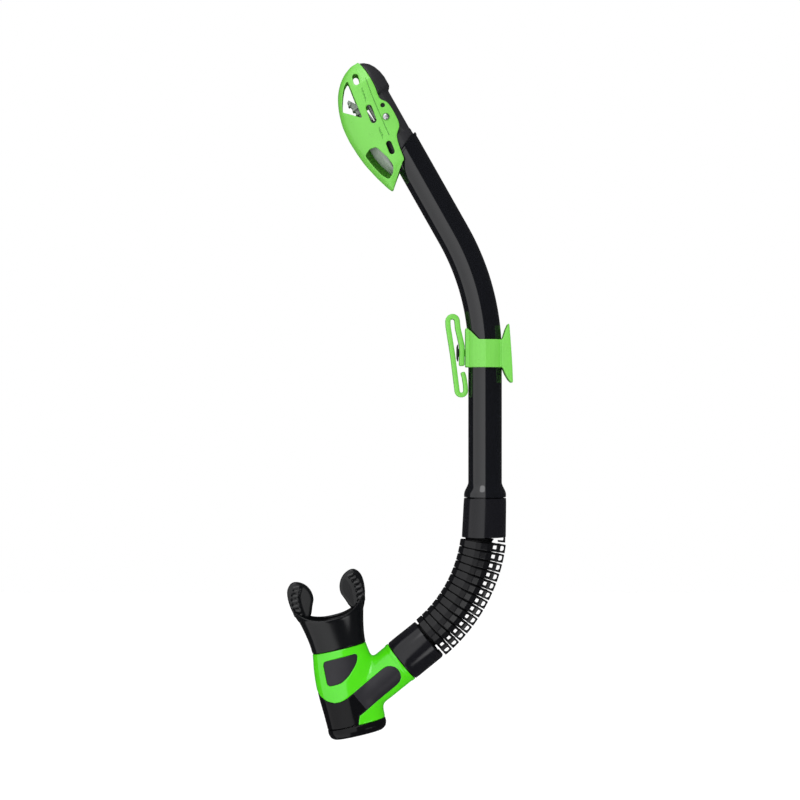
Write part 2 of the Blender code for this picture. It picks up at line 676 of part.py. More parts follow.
def purge_cap():
    """Bottom cover, dished, with a rim and exhaust slots."""
    rings = []
    for inset, z in ((0.0030, -CAP_HEIGHT - 0.0004), (0.0010, -CAP_HEIGHT + 0.0010),
                     (0.0, -CAP_HEIGHT + 0.0035), (0.0, -GAP),
                     (0.0022, -GAP), (0.0022, -CAP_HEIGHT + 0.0030), (0.0042, -CAP_HEIGHT + 0.0012)):
        rings.append(oval(LOBE_LOW_HALF - inset, LOBE_DEPTH_HALF - 0.0012 - inset, z))
    cap = add("purge_cap", loft(rings), BLACK, chamber)
    for index in range(5):
        x = -0.0110 + 0.0055 * index
        half = 0.0062 - 0.0003 * abs(index - 2) ** 2
        slot = box((x - 0.0012, -half, -CAP_HEIGHT - 0.002), (x + 0.0012, half, -CAP_HEIGHT + 0.003))
        cut(cap, guide("cap_slot_%d" % index, slot, chamber))
    return cap


def mouthpiece():
    """Soft mouthpiece: a lip shield drawn up to the corners of the mouth, with two bite tabs."""
    base = LOBE_HEIGHT + GAP
    steps = 5
    outer = []
    inner = []
    for step in range(steps + 1):
        part = step / steps
        flare = part ** 1.8
        half_x = LOBE_TOP_HALF + (MOUTH_HALF - LOBE_TOP_HALF) * flare
        half_y = LOBE_DEPTH_HALF - 0.0018 + (MOUTH_DEPTH_HALF - LOBE_DEPTH_HALF + 0.0018) * flare
        outside = oval(half_x, half_y, 0.0)
        tight = max(0.0, 1.0 - 2.2 * part)
        thick = MOUTH_WALL + (0.0042 - GAP - MOUTH_WALL) * tight
        inside = oval(half_x - thick, half_y - thick, 0.0)
        for ring, chosen in ((outside, outer), (inside, inner)):
            points = []
            for point in ring:
                rise = MOUTH_RISE * (abs(point.x) / MOUTH_HALF) ** 2.5
                points.append(Vector((point.x, point.y, base + part * (MOUTH_HEIGHT + rise))))
            chosen.append(points)
    piece = add("mouthpiece", loft(outer + list(reversed(inner)), closed=True), SILICONE, chamber)
    corner = base + MOUTH_HEIGHT + MOUTH_RISE
    for side in (-1.0, 1.0):
        tab = [(0.0146, corner - 0.0060), (0.0205, corner - 0.0085), (0.0240, corner - 0.0010),
               (0.0248, corner + 0.0080),
               (0.0236, corner + 0.0152), (0.0195, corner + TAB_LENGTH - 0.0064), (0.0140, corner + 0.0160),
               (0.0100, corner + 0.0105), (0.0092, corner + 0.0050), (0.0110, corner - 0.0002)]
        outline = [(side * x, z) for x, z in smooth_outline(tab, 3)]
        body = guide("bite_tab_%s" % ("left" if side < 0 else "right"),
                     prism(outline, -TAB_HALF_THICK, TAB_HALF_THICK), chamber)
        bevel(body, 0.0012)
        join(piece, body)
    return piece


def swivel_seal():
    """Soft ring between the hose clamp ring and the swivel nipple."""
    outside = LOWER_CUFF_R - LOWER_CUFF_WALL - GAP
    top = -0.0055 - 0.5 * HOSE_END_LENGTH - GAP
    low = -LOWER_CUFF_LENGTH + NIPPLE_LENGTH + RUN
    inside = HOSE_END_R - HOSE_WALL - GAP - 0.0014
    profile = [(outside, low), (outside, top), (inside, top), (inside, low)]
    return add("swivel_seal", turned(profile, 28, closed=True), SILICONE, lower)


# ---------------------------------------------------------------- strap clip
def strap_collar():
    """Clip that slides on the barrel: a band, a pad for the hook and a finger plate."""
    bore = BARREL_R + COLLAR_BORE_CLEARANCE
    outside = bore + COLLAR_WALL
    collar = add("strap_collar", turned([(outside, COLLAR_BOTTOM), (outside, COLLAR_TOP)]), GREEN, snorkel)
    pad = prism([(COLLAR_PAD_X, COLLAR_BOTTOM + 0.0004), (COLLAR_PAD_X + 0.0089, COLLAR_BOTTOM + 0.0004),
                 (COLLAR_PAD_X + 0.0085, COLLAR_TOP - 0.0002), (COLLAR_PAD_X + 0.0017, COLLAR_PAD_TOP - 0.0006),
                 (COLLAR_PAD_X + 0.0004, COLLAR_PAD_TOP), (COLLAR_PAD_X, COLLAR_PAD_TOP - 0.0010)],
                -COLLAR_PAD_HALF, COLLAR_PAD_HALF)
    join(collar, guide("collar_pad", pad, snorkel))
    slope_top = COLLAR_PAD_X + 0.0012
    slope_low = COLLAR_PAD_X + 0.0085
    rise = turned([(outside, COLLAR_TOP - 0.0005), (outside, COLLAR_PAD_TOP - GAP)])
    rise = guide("collar_rise", rise, snorkel)
    far = outside + GAP
    above = prism([(slope_top, COLLAR_PAD_TOP), (slope_low, COLLAR_TOP), (far, COLLAR_TOP),
                   (far, COLLAR_PAD_TOP + GAP), (slope_top, COLLAR_PAD_TOP + GAP)], -far, far)
    cut(rise, guide("collar_slope", above, snorkel))
    join(collar, rise)
    plate = [(-0.0009, COLLAR_BOTTOM + 0.0006), (0.0003, COLLAR_BOTTOM - 0.0010), (0.0019, -0.0142),
             (0.0041, -0.0178), (0.0062, WING_BOTTOM), (0.0068, WING_BOTTOM + 0.0010), (0.0065, -0.0100),
             (0.0059, 0.0), (0.0051, 0.0110), (0.0045, WING_TOP - 0.0008), (0.0038, WING_TOP), (0.0019, 0.0150),
             (0.0003, COLLAR_TOP + 0.0012), (-0.0009, COLLAR_TOP - 0.0006)]
    outline = [(BARREL_R + out, height) for out, height in plate]
    wing = guide("collar_wing", prism(outline, -WING_HALF, WING_HALF), snorkel)
    bevel(wing, 0.0007, 1, 60)
    join(collar, wing)
    bore_rings = [barrel_ring(height, bore) for height in (-0.04, 0.0, 0.006, 0.012, 0.018, 0.026)]
    cut(collar, guide("collar_bore", loft(bore_rings), snorkel))
    cut(collar, guide("collar_stud_hole",
                      rod(STUD_TAIL_R + GAP, COLLAR_PAD_X - 0.001, COLLAR_PAD_X + STUD_TAIL + GAP,
                          "X"), snorkel))
    return collar


def thick_path(points, half_start, half_end):
    """The outline of a bar that follows a path, with round ends."""
    left = []
    right = []
    last = len(points) - 1
    for index, point in enumerate(points):
        before = Vector(points[max(index - 1, 0)])
        after = Vector(points[min(index + 1, last)])
        along = (after - before).normalized()
        half = half_start + (half_end - half_start) * index / last
        left.append((point[0] - along.y * half, point[1] + along.x * half))
        right.append((point[0] + along.y * half, point[1] - along.x * half))
    return left + list(reversed(right))


def strap_hook():
    """The hook the mask strap is threaded into: one bar bent to a long loop with an open mouth."""
    half = 0.5 * HOOK_BAR
    plate_x = COLLAR_PAD_X - RUN - half
    top = arc((COLLAR_PAD_X - 0.0083, 0.0206), 0.0030, 8, 176, 9)
    bottom = arc((COLLAR_PAD_X - 0.0025, -0.0246), 0.0028, 190, 358, 9)
    path = [(plate_x, -0.0085), (plate_x, -0.0030), (plate_x, 0.0045), (plate_x - 0.0012, 0.0100),
            (plate_x - 0.0026, 0.0160)]
    path += top + [(COLLAR_PAD_X - 0.0111, 0.0170), (COLLAR_PAD_X - 0.0081, -0.0020)] + bottom
    path += [(COLLAR_PAD_X, -0.0205), (COLLAR_PAD_X - 0.0008, -0.0155), (COLLAR_PAD_X - 0.0018, -0.0124)]
    hook = add("strap_hook", prism(thick_path(path, half, half - 0.0004), -HOOK_HALF, HOOK_HALF), GREEN,
               snorkel)
    bevel(hook, 0.0006, 1, 60)
    cut(hook, guide("hook_hole", rod(STUD_R + RUN, COLLAR_PAD_X - 0.0076, COLLAR_PAD_X + 0.0004, "X"),
                    snorkel))
    return hook


def swivel_stud():
    """Headed stud, fixed in the collar, that the hook turns on."""
    face = COLLAR_PAD_X - GAP
    far = COLLAR_PAD_X - RUN - HOOK_BAR - RUN
    rings = []
    for radius, x in ((STUD_TAIL_R, COLLAR_PAD_X + STUD_TAIL), (STUD_TAIL_R, face), (STUD_R, face),
                      (STUD_R, far),
                      (STUD_HEAD_R, far), (STUD_HEAD_R, far - 0.5
                                           * STUD_HEAD), (STUD_HEAD_R * 0.7, far - STUD_HEAD)):
        rings.append([Vector((x, p.x, p.y)) for p in circle(radius, 0.0, 0.0, 24)])
    return add("swivel_stud", loft(rings), BLACK_SATIN, snorkel)


# ---------------------------------------------------------------- dry top
SHELL_OUTLINE = [  # height along the top, edge towards the head, edge over the neck
    (-0.0208, -0.0209, -0.0196), (-0.0170, -0.0226, -0.0157), (-0.0090, -0.0251,
                                                               -0.0064), (-0.0071, -0.0256, -0.0043),
    (0.0015, -0.0276, -0.0029), (0.0081, -0.0285, -0.0009), (0.0132, -0.0289,
                                                             0.0037), (0.0212, -0.0292, 0.0048),
    (0.0293, -0.0286, 0.0042), (0.0344, -0.0276, 0.0012), (0.0423, -0.0251,
                                                           0.0022), (0.0500, -0.0212, 0.0024),
    (0.0560, -0.0162, 0.0020), (0.0600, -0.0108, 0.0014), (0.0623, -0.0052, 0.0008)]


def shell_ring(row, inset, open_side):
    """One section of the shell: flat by the neck, sloping to a rounded prow on the head side."""
    height, head_edge, neck_edge = row
    span = neck_edge - head_edge - inset
    end_fade = min(1.0, (height + 0.0235) / 0.016, (0.0655 - height) / 0.017)
    deep = max(SHELL_HALF_Y * max(end_fade, 0.0) ** 0.5 - inset, 0.0012)
    head = head_edge + inset
    neck = neck_edge + open_side
    rule = [(1.0, 1.0), (0.72, 1.0), (0.45, 0.93), (0.25, 0.80), (0.11, 0.58), (0.03, 0.30), (0.0, 0.0)]
    near = []
    for across, depth in rule:
        x = neck if across == 1.0 else head + across * span
        near.append((x, -depth * deep))
    far = [(x, -y) for x, y in reversed(near[:-1])]
    return [Vector((x, y, height)) for x, y in near + far]


def shell_form(inset, open_side):
    """The outer form of the shell, or its hollow when drawn inside it."""
    rows = list(SHELL_OUTLINE)
    if inset > 0.0:
        rows = [row for row in rows if -0.0208 + 2.0 * inset < row[0] < 0.0623 - inset]
        low = rows[0][0]
        high = rows[-1][0]
        rows = [(low - 0.0006, rows[0][1] + 0.0004, rows[0][2] - 0.0002)] + rows
        rows.append((min(high + 0.0012, 0.0623 - inset), rows[-1][1] + 0.0010, rows[-1][2]))
    return loft([shell_ring(row, inset, open_side) for row in rows])


WINDOWS = [
    [(-0.0113, 0.0548), (-0.0150, 0.0525), (-0.0185, 0.0481), (-0.0218, 0.0430), (-0.0238, 0.0387),
     (-0.0148, 0.0288)],
    slot_outline((-0.0056, 0.0545), (-0.0066, 0.0508), 0.0019),
    slot_outline((-0.0078, 0.0325), (-0.0092, 0.0240), 0.0019),
    slot_outline((-0.0080, 0.0060), (-0.0088, 0.0006), 0.0018),
    [(-0.0250, 0.0070), (-0.0205, 0.0092), (-0.0162, 0.0082), (-0.0130, -0.0015), (-0.0124, -0.0077),
     (-0.0150, -0.0118),
     (-0.0192, -0.0137), (-0.0218, -0.0090), (-0.0238, -0.0010)]]


def dry_top_shell():
    """Coloured splash cover over the float, open towards the neck."""
    shell = add("dry_top_shell", shell_form(0.0, 0.0), GREEN, dry_top)
    cut(shell, guide("shell_hollow", shell_form(SHELL_WALL, 0.004), dry_top))
    for index, outline in enumerate(WINDOWS):
        far = 0.0 if outline is WINDOWS[-1] else 0.03
        cut(shell, guide("shell_window_%d" % index, prism(outline, -0.03, far), dry_top))
    for label, x, z, radius in (("screw", SCREW_X, SCREW_Z, SCREW_R + GAP),
                                ("peg", PEG_X, PEG_Z, PEG_R + GAP)):
        cut(shell, guide("shell_%s_hole" % label, rod(radius, -0.03, 0.03, "Y", (x, 0.0, z), 16), dry_top))
    return shell


def half_round(radius, flat_x, half_y, height, count=24):
    """A round section with one flat side, narrowed across."""
    points = []
    for index in range(count):
        turn = 2.0 * math.pi * index / count
        x = max(radius * math.cos(turn), flat_x)
        y = max(-half_y, min(half_y, radius * math.sin(turn)))
        if x == flat_x and abs(radius * math.cos(turn)) > abs(flat_x) + 1e-9:
            y = math.copysign(min(half_y, math.sqrt(radius ** 2 - flat_x ** 2)),
                              y) * min(1.0, abs(y) / (0.72 * radius))
        points.append(Vector((x, y, height)))
    return points


def dry_top_housing():
    """Air intake: a neck in the top of the barrel, a seat for the float valve and a dome over it."""
    spigot = BARREL_R - BARREL_WALL - GAP
    housing = add("dry_top_housing", turned([(spigot, -0.0120), (spigot, 0.0068)]), BLACK_SATIN, dry_top)
    rings = []
    for slope, lift in ((math.tan(TOP_SLANT), GAP / math.cos(TOP_SLANT)), (0.0, SHOULDER_TOP)):
        ring = []
        for point in circle(1.0, 0.0, 0.0, 26):
            x = point.x * (SHOULDER_OUT_R if point.x > 0.0 else SHOULDER_HEAD_R)
            ring.append(Vector((x, point.y * SHOULDER_HALF_Y, x * slope + lift)))
        rings.append(ring)
    join(housing, guide("shoulder", loft(rings), dry_top))
    join(housing, guide("neck", loft([half_round(HOUSING_NECK_R, SEAT_X, HOUSING_HALF_Y, 0.0059),
                                      half_round(HOUSING_NECK_R, SEAT_X, HOUSING_HALF_Y,
                                                 NECK_HEIGHT_TOP + 0.004)]), dry_top))
    profile = [(0.0, 37.2), (0.9, 38.2), (1.0, 40.0), (1.0, 46.6), (0.93, 51.0), (0.80, 55.0), (0.62, 58.2),
               (0.38, 60.6), (0.16, 61.8)]
    rings = []
    for part, height in profile:
        radius = HOUSING_NECK_R + (DOME_R - HOUSING_NECK_R) * part if height < 38.0 else DOME_R * part
        rings.append(circle(max(radius, 0.0012), height * 0.001, 0.0, 28))
    dome = guide("dome", loft(rings), dry_top)
    cut(dome, guide("dome_side", box((-0.03, -0.03, 0.03), (-0.0030, 0.03, 0.07)), dry_top))
    join(housing, dome)
    cut(housing, guide("airway", turned([(HOUSING_BORE_R, -0.02), (HOUSING_BORE_R, 0.0200)], 24), dry_top))
    chimney = loft([half_round(HOUSING_NECK_R - DOME_WALL, SEAT_X + DOME_WALL, HOUSING_HALF_Y - DOME_WALL,
                               z) for z in (0.0195, 0.0440)])
    cut(housing, guide("chimney", chimney, dry_top))
    port = box((SEAT_X - 0.002, -VALVE_PORT_HALF, VALVE_PORT_LOW),
               (SEAT_X + 0.004, VALVE_PORT_HALF, VALVE_PORT_HIGH - 0.0010))
    cut(housing, guide("air_port", port, dry_top))
    around = [(row[2] + GAP, row[0]) for row in SHELL_OUTLINE] + [(-0.0300, 0.0640), (-0.0300, -0.0230)]
    trim = guide("shell_prism", prism(around, -0.03, 0.03), dry_top)
    cut(trim, guide("shell_space", shell_form(SHELL_WALL + GAP, 0.006), dry_top))
    cut(housing, trim)
    for label, side in (("front", -1.0), ("back", 1.0)):
        ear = box((EAR_X, min(side * EAR_IN, side * EAR_OUT), PIVOT_Z - EAR_HALF),
                  (SEAT_X + 0.0022, max(side * EAR_IN, side * EAR_OUT), PIVOT_Z + EAR_HALF))
        join(housing, guide("ear_" + label, ear, dry_top))
        hole = rod(SCREW_R + GAP, side * (HOUSING_HALF_Y - 0.0012), side * 0.012, "Y",
                   (SCREW_X, 0.0, SCREW_Z), 16)
        cut(housing, guide("screw_hole_" + label, hole, dry_top))
    cut(housing, guide("pin_hole", rod(PIN_R + GAP, -0.012, 0.012, "Y", (PIVOT_X, 0.0, PIVOT_Z), 16),
                       dry_top))
    return housing


def shell_screws():
    """The two screws that hold the shell on the neck."""
    for name, side in (("shell_screw_front", -1.0), ("shell_screw_back", 1.0)):
        rings = []
        face = SHELL_HALF_Y + GAP
        for radius, y in ((SCREW_R, HOUSING_HALF_Y - 0.0008), (SCREW_R, face), (SCREW_HEAD_R, face),
                          (SCREW_HEAD_R, face + 0.0006),
                          (SCREW_HEAD_R * 0.6, face + 0.0010)):
            rings.append([Vector((SCREW_X + p.x, side * y, SCREW_Z + p.y))
                          for p in circle(radius, 0.0, 0.0, 16)])
        add(name, loft(rings), STEEL, dry_top)


def valve_seat():
    """Soft gasket round the air port."""
    face = SEAT_X - GAP
    outer = (VALVE_PORT_HALF + 0.0016, VALVE_PORT_LOW - 0.0014, VALVE_PORT_HIGH + 0.0006)
    seat = add("valve_seat", box((face - GASKET, -outer[0], outer[1]), (face, outer[0], outer[2])),
               CLEAR_GREY, dry_top)
    hole = box((face - 0.01, -VALVE_PORT_HALF, VALVE_PORT_LOW),
               (face + 0.01, VALVE_PORT_HALF, VALVE_PORT_HIGH - 0.0010))
    cut(seat, guide("gasket_hole", hole, dry_top))
    return seat


lever_frame = frame("lever_frame", PIVOT_X, PIVOT_Z, -LEVER_ANGLE, dry_top)


def float_lever():
    """Rocking lever: a ribbed plate behind the valve flap, a pivot barrel and an arm down to the float."""
    plate_x = SEAT_X - GAP - GASKET - RUN - PIVOT_X - 0.0012
    lever = add("float_lever", rod(0.0020, -EAR_IN + GAP, EAR_IN - GAP, "Y", (0.0, 0.0, 0.0), 16), GREY,
                lever_frame)
    plate = box((plate_x - 0.0016, -0.0060, 0.0010), (plate_x - GAP, 0.0060, 0.0180))
    join(lever, guide("lever_plate", plate, lever_frame))
    for index in range(4):
        z = 0.0052 + 0.0036 * index
        rib = box((plate_x - 0.0058, -0.0055, z - 0.0007), (plate_x - 0.0010, 0.0055, z + 0.0007))
        join(lever, guide("lever_rib_%d" % index, rib, lever_frame))
    float_top = (FLOAT_SHAPE[-1][0] - PIVOT_Z) / math.cos(LEVER_ANGLE) + 2.0 * GAP
    slope = math.tan(LEVER_ANGLE)
    arm = prism([(-0.0014, 0.0), (0.0008, 0.0), (-0.0046, float_top + 0.0046 * slope),
                 (-0.0072, float_top + 0.0072 * slope)], -0.0030, 0.0030)
    join(lever, guide("lever_arm", arm, lever_frame))
    cut(lever, guide("lever_bore", rod(PIN_R + 0.0002, -0.01, 0.01, "Y", (0.0, 0.0, 0.0), 16), lever_frame))
    return lever


def valve_flap():
    """Soft pad on the lever that closes the air port."""
    plate_x = SEAT_X - GAP - GASKET - RUN - PIVOT_X - 0.0012
    pad = box((plate_x, -0.0062, 0.0032), (plate_x + 0.0011, 0.0062, 0.0176))
    return add("valve_flap", pad, CLEAR_GREY, lever_frame)


FLOAT_FACE = -BARREL_R - 0.0010  # side of the float beside the barrel, with the lever hanging open
FLOAT_LEAST = 0.0024            # the float starts where the room beside the barrel is wider than this
FLOAT_SHAPE = [  # height along the top, narrow side and broad side
    (height, narrow, FLOAT_FACE - broad) for height, narrow, broad in (
        (-0.0121, -0.0154, 0.0007), (-0.0104, -0.0164, 0.0002), (-0.0040, -0.0188, 0.0), (0.0040, -0.0204, 0.0),
        (0.0098, -0.0205, 0.0002), (0.0115, -0.0192, 0.0013))
    if FLOAT_FACE - broad - narrow > FLOAT_LEAST]


def float_block():
    """Float at the end of the lever, narrow on the side of the shell's prow."""
    rings = []
    for height, narrow, broad in FLOAT_SHAPE:
        middle = broad + 0.45 * (narrow - broad)
        edge = 0.0010
        plan = [(broad, 0.0), (broad, FLOAT_HALF_Y - edge), (broad - edge, FLOAT_HALF_Y),
                (middle, FLOAT_HALF_Y - 0.0006),
                (narrow + edge, FLOAT_PROW_HALF + 0.0008), (narrow, FLOAT_PROW_HALF - 0.0006)]
        plan += [(x, -y) for x, y in reversed(plan[1:])]
        ring = []
        for x, y in plan:
            across = x - PIVOT_X
            up = height - PIVOT_Z
            ring.append(Vector((across * math.cos(LEVER_ANGLE) + up * math.sin(LEVER_ANGLE), y,
                                up * math.cos(LEVER_ANGLE) - across * math.sin(LEVER_ANGLE))))
        rings.append(ring)
    return add("float", loft(rings), GREY, lever_frame)


def float_pin():
    """Pivot pin of the lever, held at both ends in the ears of the neck."""
    half = EAR_OUT + GAP
    return add("float_pin", rod(PIN_R, -half, half, "Y", (PIVOT_X, 0.0, PIVOT_Z), 16), STEEL, dry_top)


barrel_tube()
exo_links()
bellows_hose()
upper_cuff()
lower_cuff()
hose_clamp_ring()
swivel_seal()
purge_skin()
purge_core()
purge_seat()
purge_valve()
purge_cap()
mouthpiece()
strap_collar()
strap_hook()
swivel_stud()
dry_top_shell()
dry_top_housing()
shell_screws()
valve_seat()
float_lever()
valve_flap()
float_block()
float_pin()
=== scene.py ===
# %% [markdown]
# # A dry-top snorkel, built up on its CAD frame
# The frame gives every part's place and its joints. Each visible part is then made again as a smooth, softly
# rounded moulding, and every part gets a finish of its own.

# %% Load the frame
import json
import math

import bpy
from mathutils import Matrix, Vector


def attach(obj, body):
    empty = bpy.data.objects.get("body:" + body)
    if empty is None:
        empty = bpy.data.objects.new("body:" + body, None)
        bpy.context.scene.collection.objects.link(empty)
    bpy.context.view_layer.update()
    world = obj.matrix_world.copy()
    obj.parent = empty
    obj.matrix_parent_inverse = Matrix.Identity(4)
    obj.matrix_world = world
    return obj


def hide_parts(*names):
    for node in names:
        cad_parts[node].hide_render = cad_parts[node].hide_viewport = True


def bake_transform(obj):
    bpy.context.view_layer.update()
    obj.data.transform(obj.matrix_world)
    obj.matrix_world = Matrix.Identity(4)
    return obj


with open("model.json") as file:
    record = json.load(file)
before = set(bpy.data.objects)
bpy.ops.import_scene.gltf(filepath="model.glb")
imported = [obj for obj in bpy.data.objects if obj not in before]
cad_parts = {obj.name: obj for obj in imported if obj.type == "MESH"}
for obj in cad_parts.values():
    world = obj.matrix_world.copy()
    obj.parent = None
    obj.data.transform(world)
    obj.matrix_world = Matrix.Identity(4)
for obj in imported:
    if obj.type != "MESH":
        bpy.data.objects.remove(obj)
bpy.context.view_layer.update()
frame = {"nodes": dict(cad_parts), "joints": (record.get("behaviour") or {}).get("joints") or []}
joints = {joint["name"]: joint for joint in frame["joints"]}

# %% [markdown]
# ## Working by hand, in code
# Blender's operators work on what is selected, and the frame comes in selected. So each step first clears the
# selection, then picks the one piece it works on. A grid primitive is the start of most shapes here: it is bent
# so that its square becomes a tube, a cup or a shell, and the seam where its edges meet is merged.

# %% Selection and modifiers
def pick(piece=None):
    """Nothing selected but this piece, in object mode."""
    if bpy.context.mode != "OBJECT":
        bpy.ops.object.mode_set(mode="OBJECT")
    bpy.ops.object.select_all(action="DESELECT")
    if piece is not None:
        piece.select_set(True)
        bpy.context.view_layer.objects.active = piece
    return piece


def change(piece, kind, **settings):
    """A modifier with these settings, applied at once."""
    pick(piece)
    step = piece.modifiers.new(kind.lower(), kind)
    for key, value in settings.items():
        setattr(step, key, value)
    bpy.ops.object.modifier_apply(modifier=step.name)
    return piece


def sew(piece):
    """Merges the points that lie on each other and turns every face outward."""
    pick(piece)
    bpy.ops.object.mode_set(mode="EDIT")
    bpy.ops.mesh.select_all(action="SELECT")
    bpy.ops.mesh.remove_doubles(threshold=0.000002)
    bpy.ops.mesh.normals_make_consistent(inside=False)
    bpy.ops.object.mode_set(mode="OBJECT")
    return piece


def smooth(piece, angle=40.0):
    """Smooth shading that leaves sharp edges sharp."""
    pick(piece)
    bpy.ops.object.shade_smooth_by_angle(angle=math.radians(angle))
    return piece


# %% Shapes from primitives
def wrap(name, around, along, place):
    """A grid primitive bent into the surface that place(u, v) describes, with u and v from 0 to 1."""
    pick()
    bpy.ops.mesh.primitive_grid_add(x_subdivisions=around, y_subdivisions=along, size=1.0)
    piece = bpy.context.object
    piece.name = name
    for vertex in piece.data.vertices:
        vertex.co = place(vertex.co.x + 0.5, vertex.co.y + 0.5)
    return sew(piece)


def row(table, v):
    """The entry of a list at v from 0 to 1, read straight between its neighbours."""
    at = min(max(v, 0.0), 1.0) * (len(table) - 1)
    low = min(int(at + 1e-6), len(table) - 2)
    part = at - low
    return tuple(a + (b - a) * part for a, b in zip(table[low], table[low + 1]))


def curve(table, v):
    """The same, on a smooth curve through the entries."""
    at = min(max(v, 0.0), 1.0) * (len(table) - 1)
    low = min(int(at + 1e-6), len(table) - 2)
    t = at - low
    a, b, c, d = (table[min(max(low + shift, 0), len(table) - 1)] for shift in (-1, 0, 1, 2))
    w = (-t + 2 * t * t - t ** 3, 2 - 5 * t * t + 3 * t ** 3, t + 4 * t * t - 3 * t ** 3, t ** 3 - t * t)
    return tuple(0.5 * sum(k * p[axis] for k, p in zip(w, (a, b, c, d))) for axis in range(len(b)))


def rounded(corners, radius, steps=4, closed=True):
    """An outline with its corners rounded off."""
    points = []
    count = len(corners)
    for index, corner in enumerate(corners):
        here = Vector(corner)
        if not closed and index in (0, count - 1):
            points.append(tuple(here))
            continue
        before = Vector(corners[index - 1]) - here
        after = Vector(corners[(index + 1) % count]) - here
        reach = min(radius, 0.45 * before.length, 0.45 * after.length)
        first = here + before.normalized() * reach
        last = here + after.normalized() * reach
        for step in range(steps + 1):
            t = step / steps
            points.append(tuple(first * (1 - t) ** 2 + here * 2 * t * (1 - t) + last * t * t))
    return points


def lathe(name, corners, radius=0.0004, around=96, lean=None):
    """A turned ring from (radius, height) corners, with softened edges; lean(height) shifts it sideways."""
    profile = rounded(corners, radius)
    profile.append(profile[0])

    def place(u, v):
        out, height = row(profile, v)
        turn = 2.0 * math.pi * u
        shift = lean(height) if lean else 0.0
        return Vector((out * math.cos(turn) + shift, out * math.sin(turn), height))
    return wrap(name, around, len(profile) - 1, place)


def slab(name, outline, low, high):
    """A flat outline in XZ, extruded along Y."""
    pick()
    bpy.ops.mesh.primitive_circle_add(vertices=len(outline), fill_type="NGON")
    piece = bpy.context.object
    piece.name = name
    for vertex, (x, z) in zip(piece.data.vertices, outline):
        vertex.co = (x, low, z)
    bpy.ops.object.mode_set(mode="EDIT")
    bpy.ops.mesh.select_all(action="SELECT")
    bpy.ops.mesh.extrude_region_move(TRANSFORM_OT_translate={"value": (0.0, high - low, 0.0)})
    bpy.ops.mesh.select_all(action="SELECT")
    bpy.ops.mesh.normals_make_consistent(inside=False)
    bpy.ops.object.mode_set(mode="OBJECT")
    return piece


def capsule(start, end, half, steps=8):
    """The outline of a slot with round ends."""
    heading = math.atan2(end[1] - start[1], end[0] - start[0])
    points = []
    for centre, turn in ((end, heading - math.pi / 2), (start, heading + math.pi / 2)):
        for step in range(steps + 1):
            angle = turn + math.pi * step / steps
            points.append((centre[0] + half * math.cos(angle), centre[1] + half * math.sin(angle)))
    return points


# %% Joining, cutting and softening
def with_other(piece, other, how):
    """A Boolean with another piece, which is used up."""
    change(piece, "BOOLEAN", operation=how, solver="EXACT", object=other)
    bpy.data.objects.remove(other, do_unlink=True)
    return piece


def moved(piece, place):
    """The piece's mesh moved into another frame, with its object left at the origin."""
    piece.data.transform(place)
    return piece


def moulded(piece, voxel=0.00035, passes=4):
    """One even skin over the piece, with every edge softly rounded as on a moulding."""
    change(piece, "REMESH", mode="VOXEL", voxel_size=voxel)
    change(piece, "SMOOTH", factor=0.5, iterations=passes)
    return smooth(piece, 180.0)


def copy_of(node):
    """A closed copy of a CAD node's shape, for a finer piece to start from."""
    piece = bpy.data.objects.new(node + "_fine", frame["nodes"][node].data.copy())
    bpy.context.scene.collection.objects.link(piece)
    piece.data.materials.clear()
    return sew(piece)


def settle(piece, body, slot, finish, *nodes):
    """Gives a piece its finish, its body, and the CAD nodes it stands for."""
    piece.data.materials.clear()
    piece.data.materials.append(finish)
    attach(piece, body)
    if nodes:
        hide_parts(*nodes)
    print(piece.name, len(piece.data.polygons), "faces")
    return piece


# %% [markdown]
# ## Finishes
# Moulded plastic is never quite one colour: the flow of the melt leaves faint clouds, the mould's polish leaves a
# fine grain, and handling dulls it unevenly. One function builds that from noise on Object coordinates. The
# settings that are the same all over are typed into the shader's own sockets.

# %% A procedural plastic
def linear(red, green, blue):
    """A screen colour as the linear values that a shader takes."""
    values = []
    for value in (red, green, blue):
        part = value / 255.0
        values.append(part / 12.92 if part <= 0.04045 else ((part + 0.055) / 1.055) ** 2.4)
    return tuple(values)


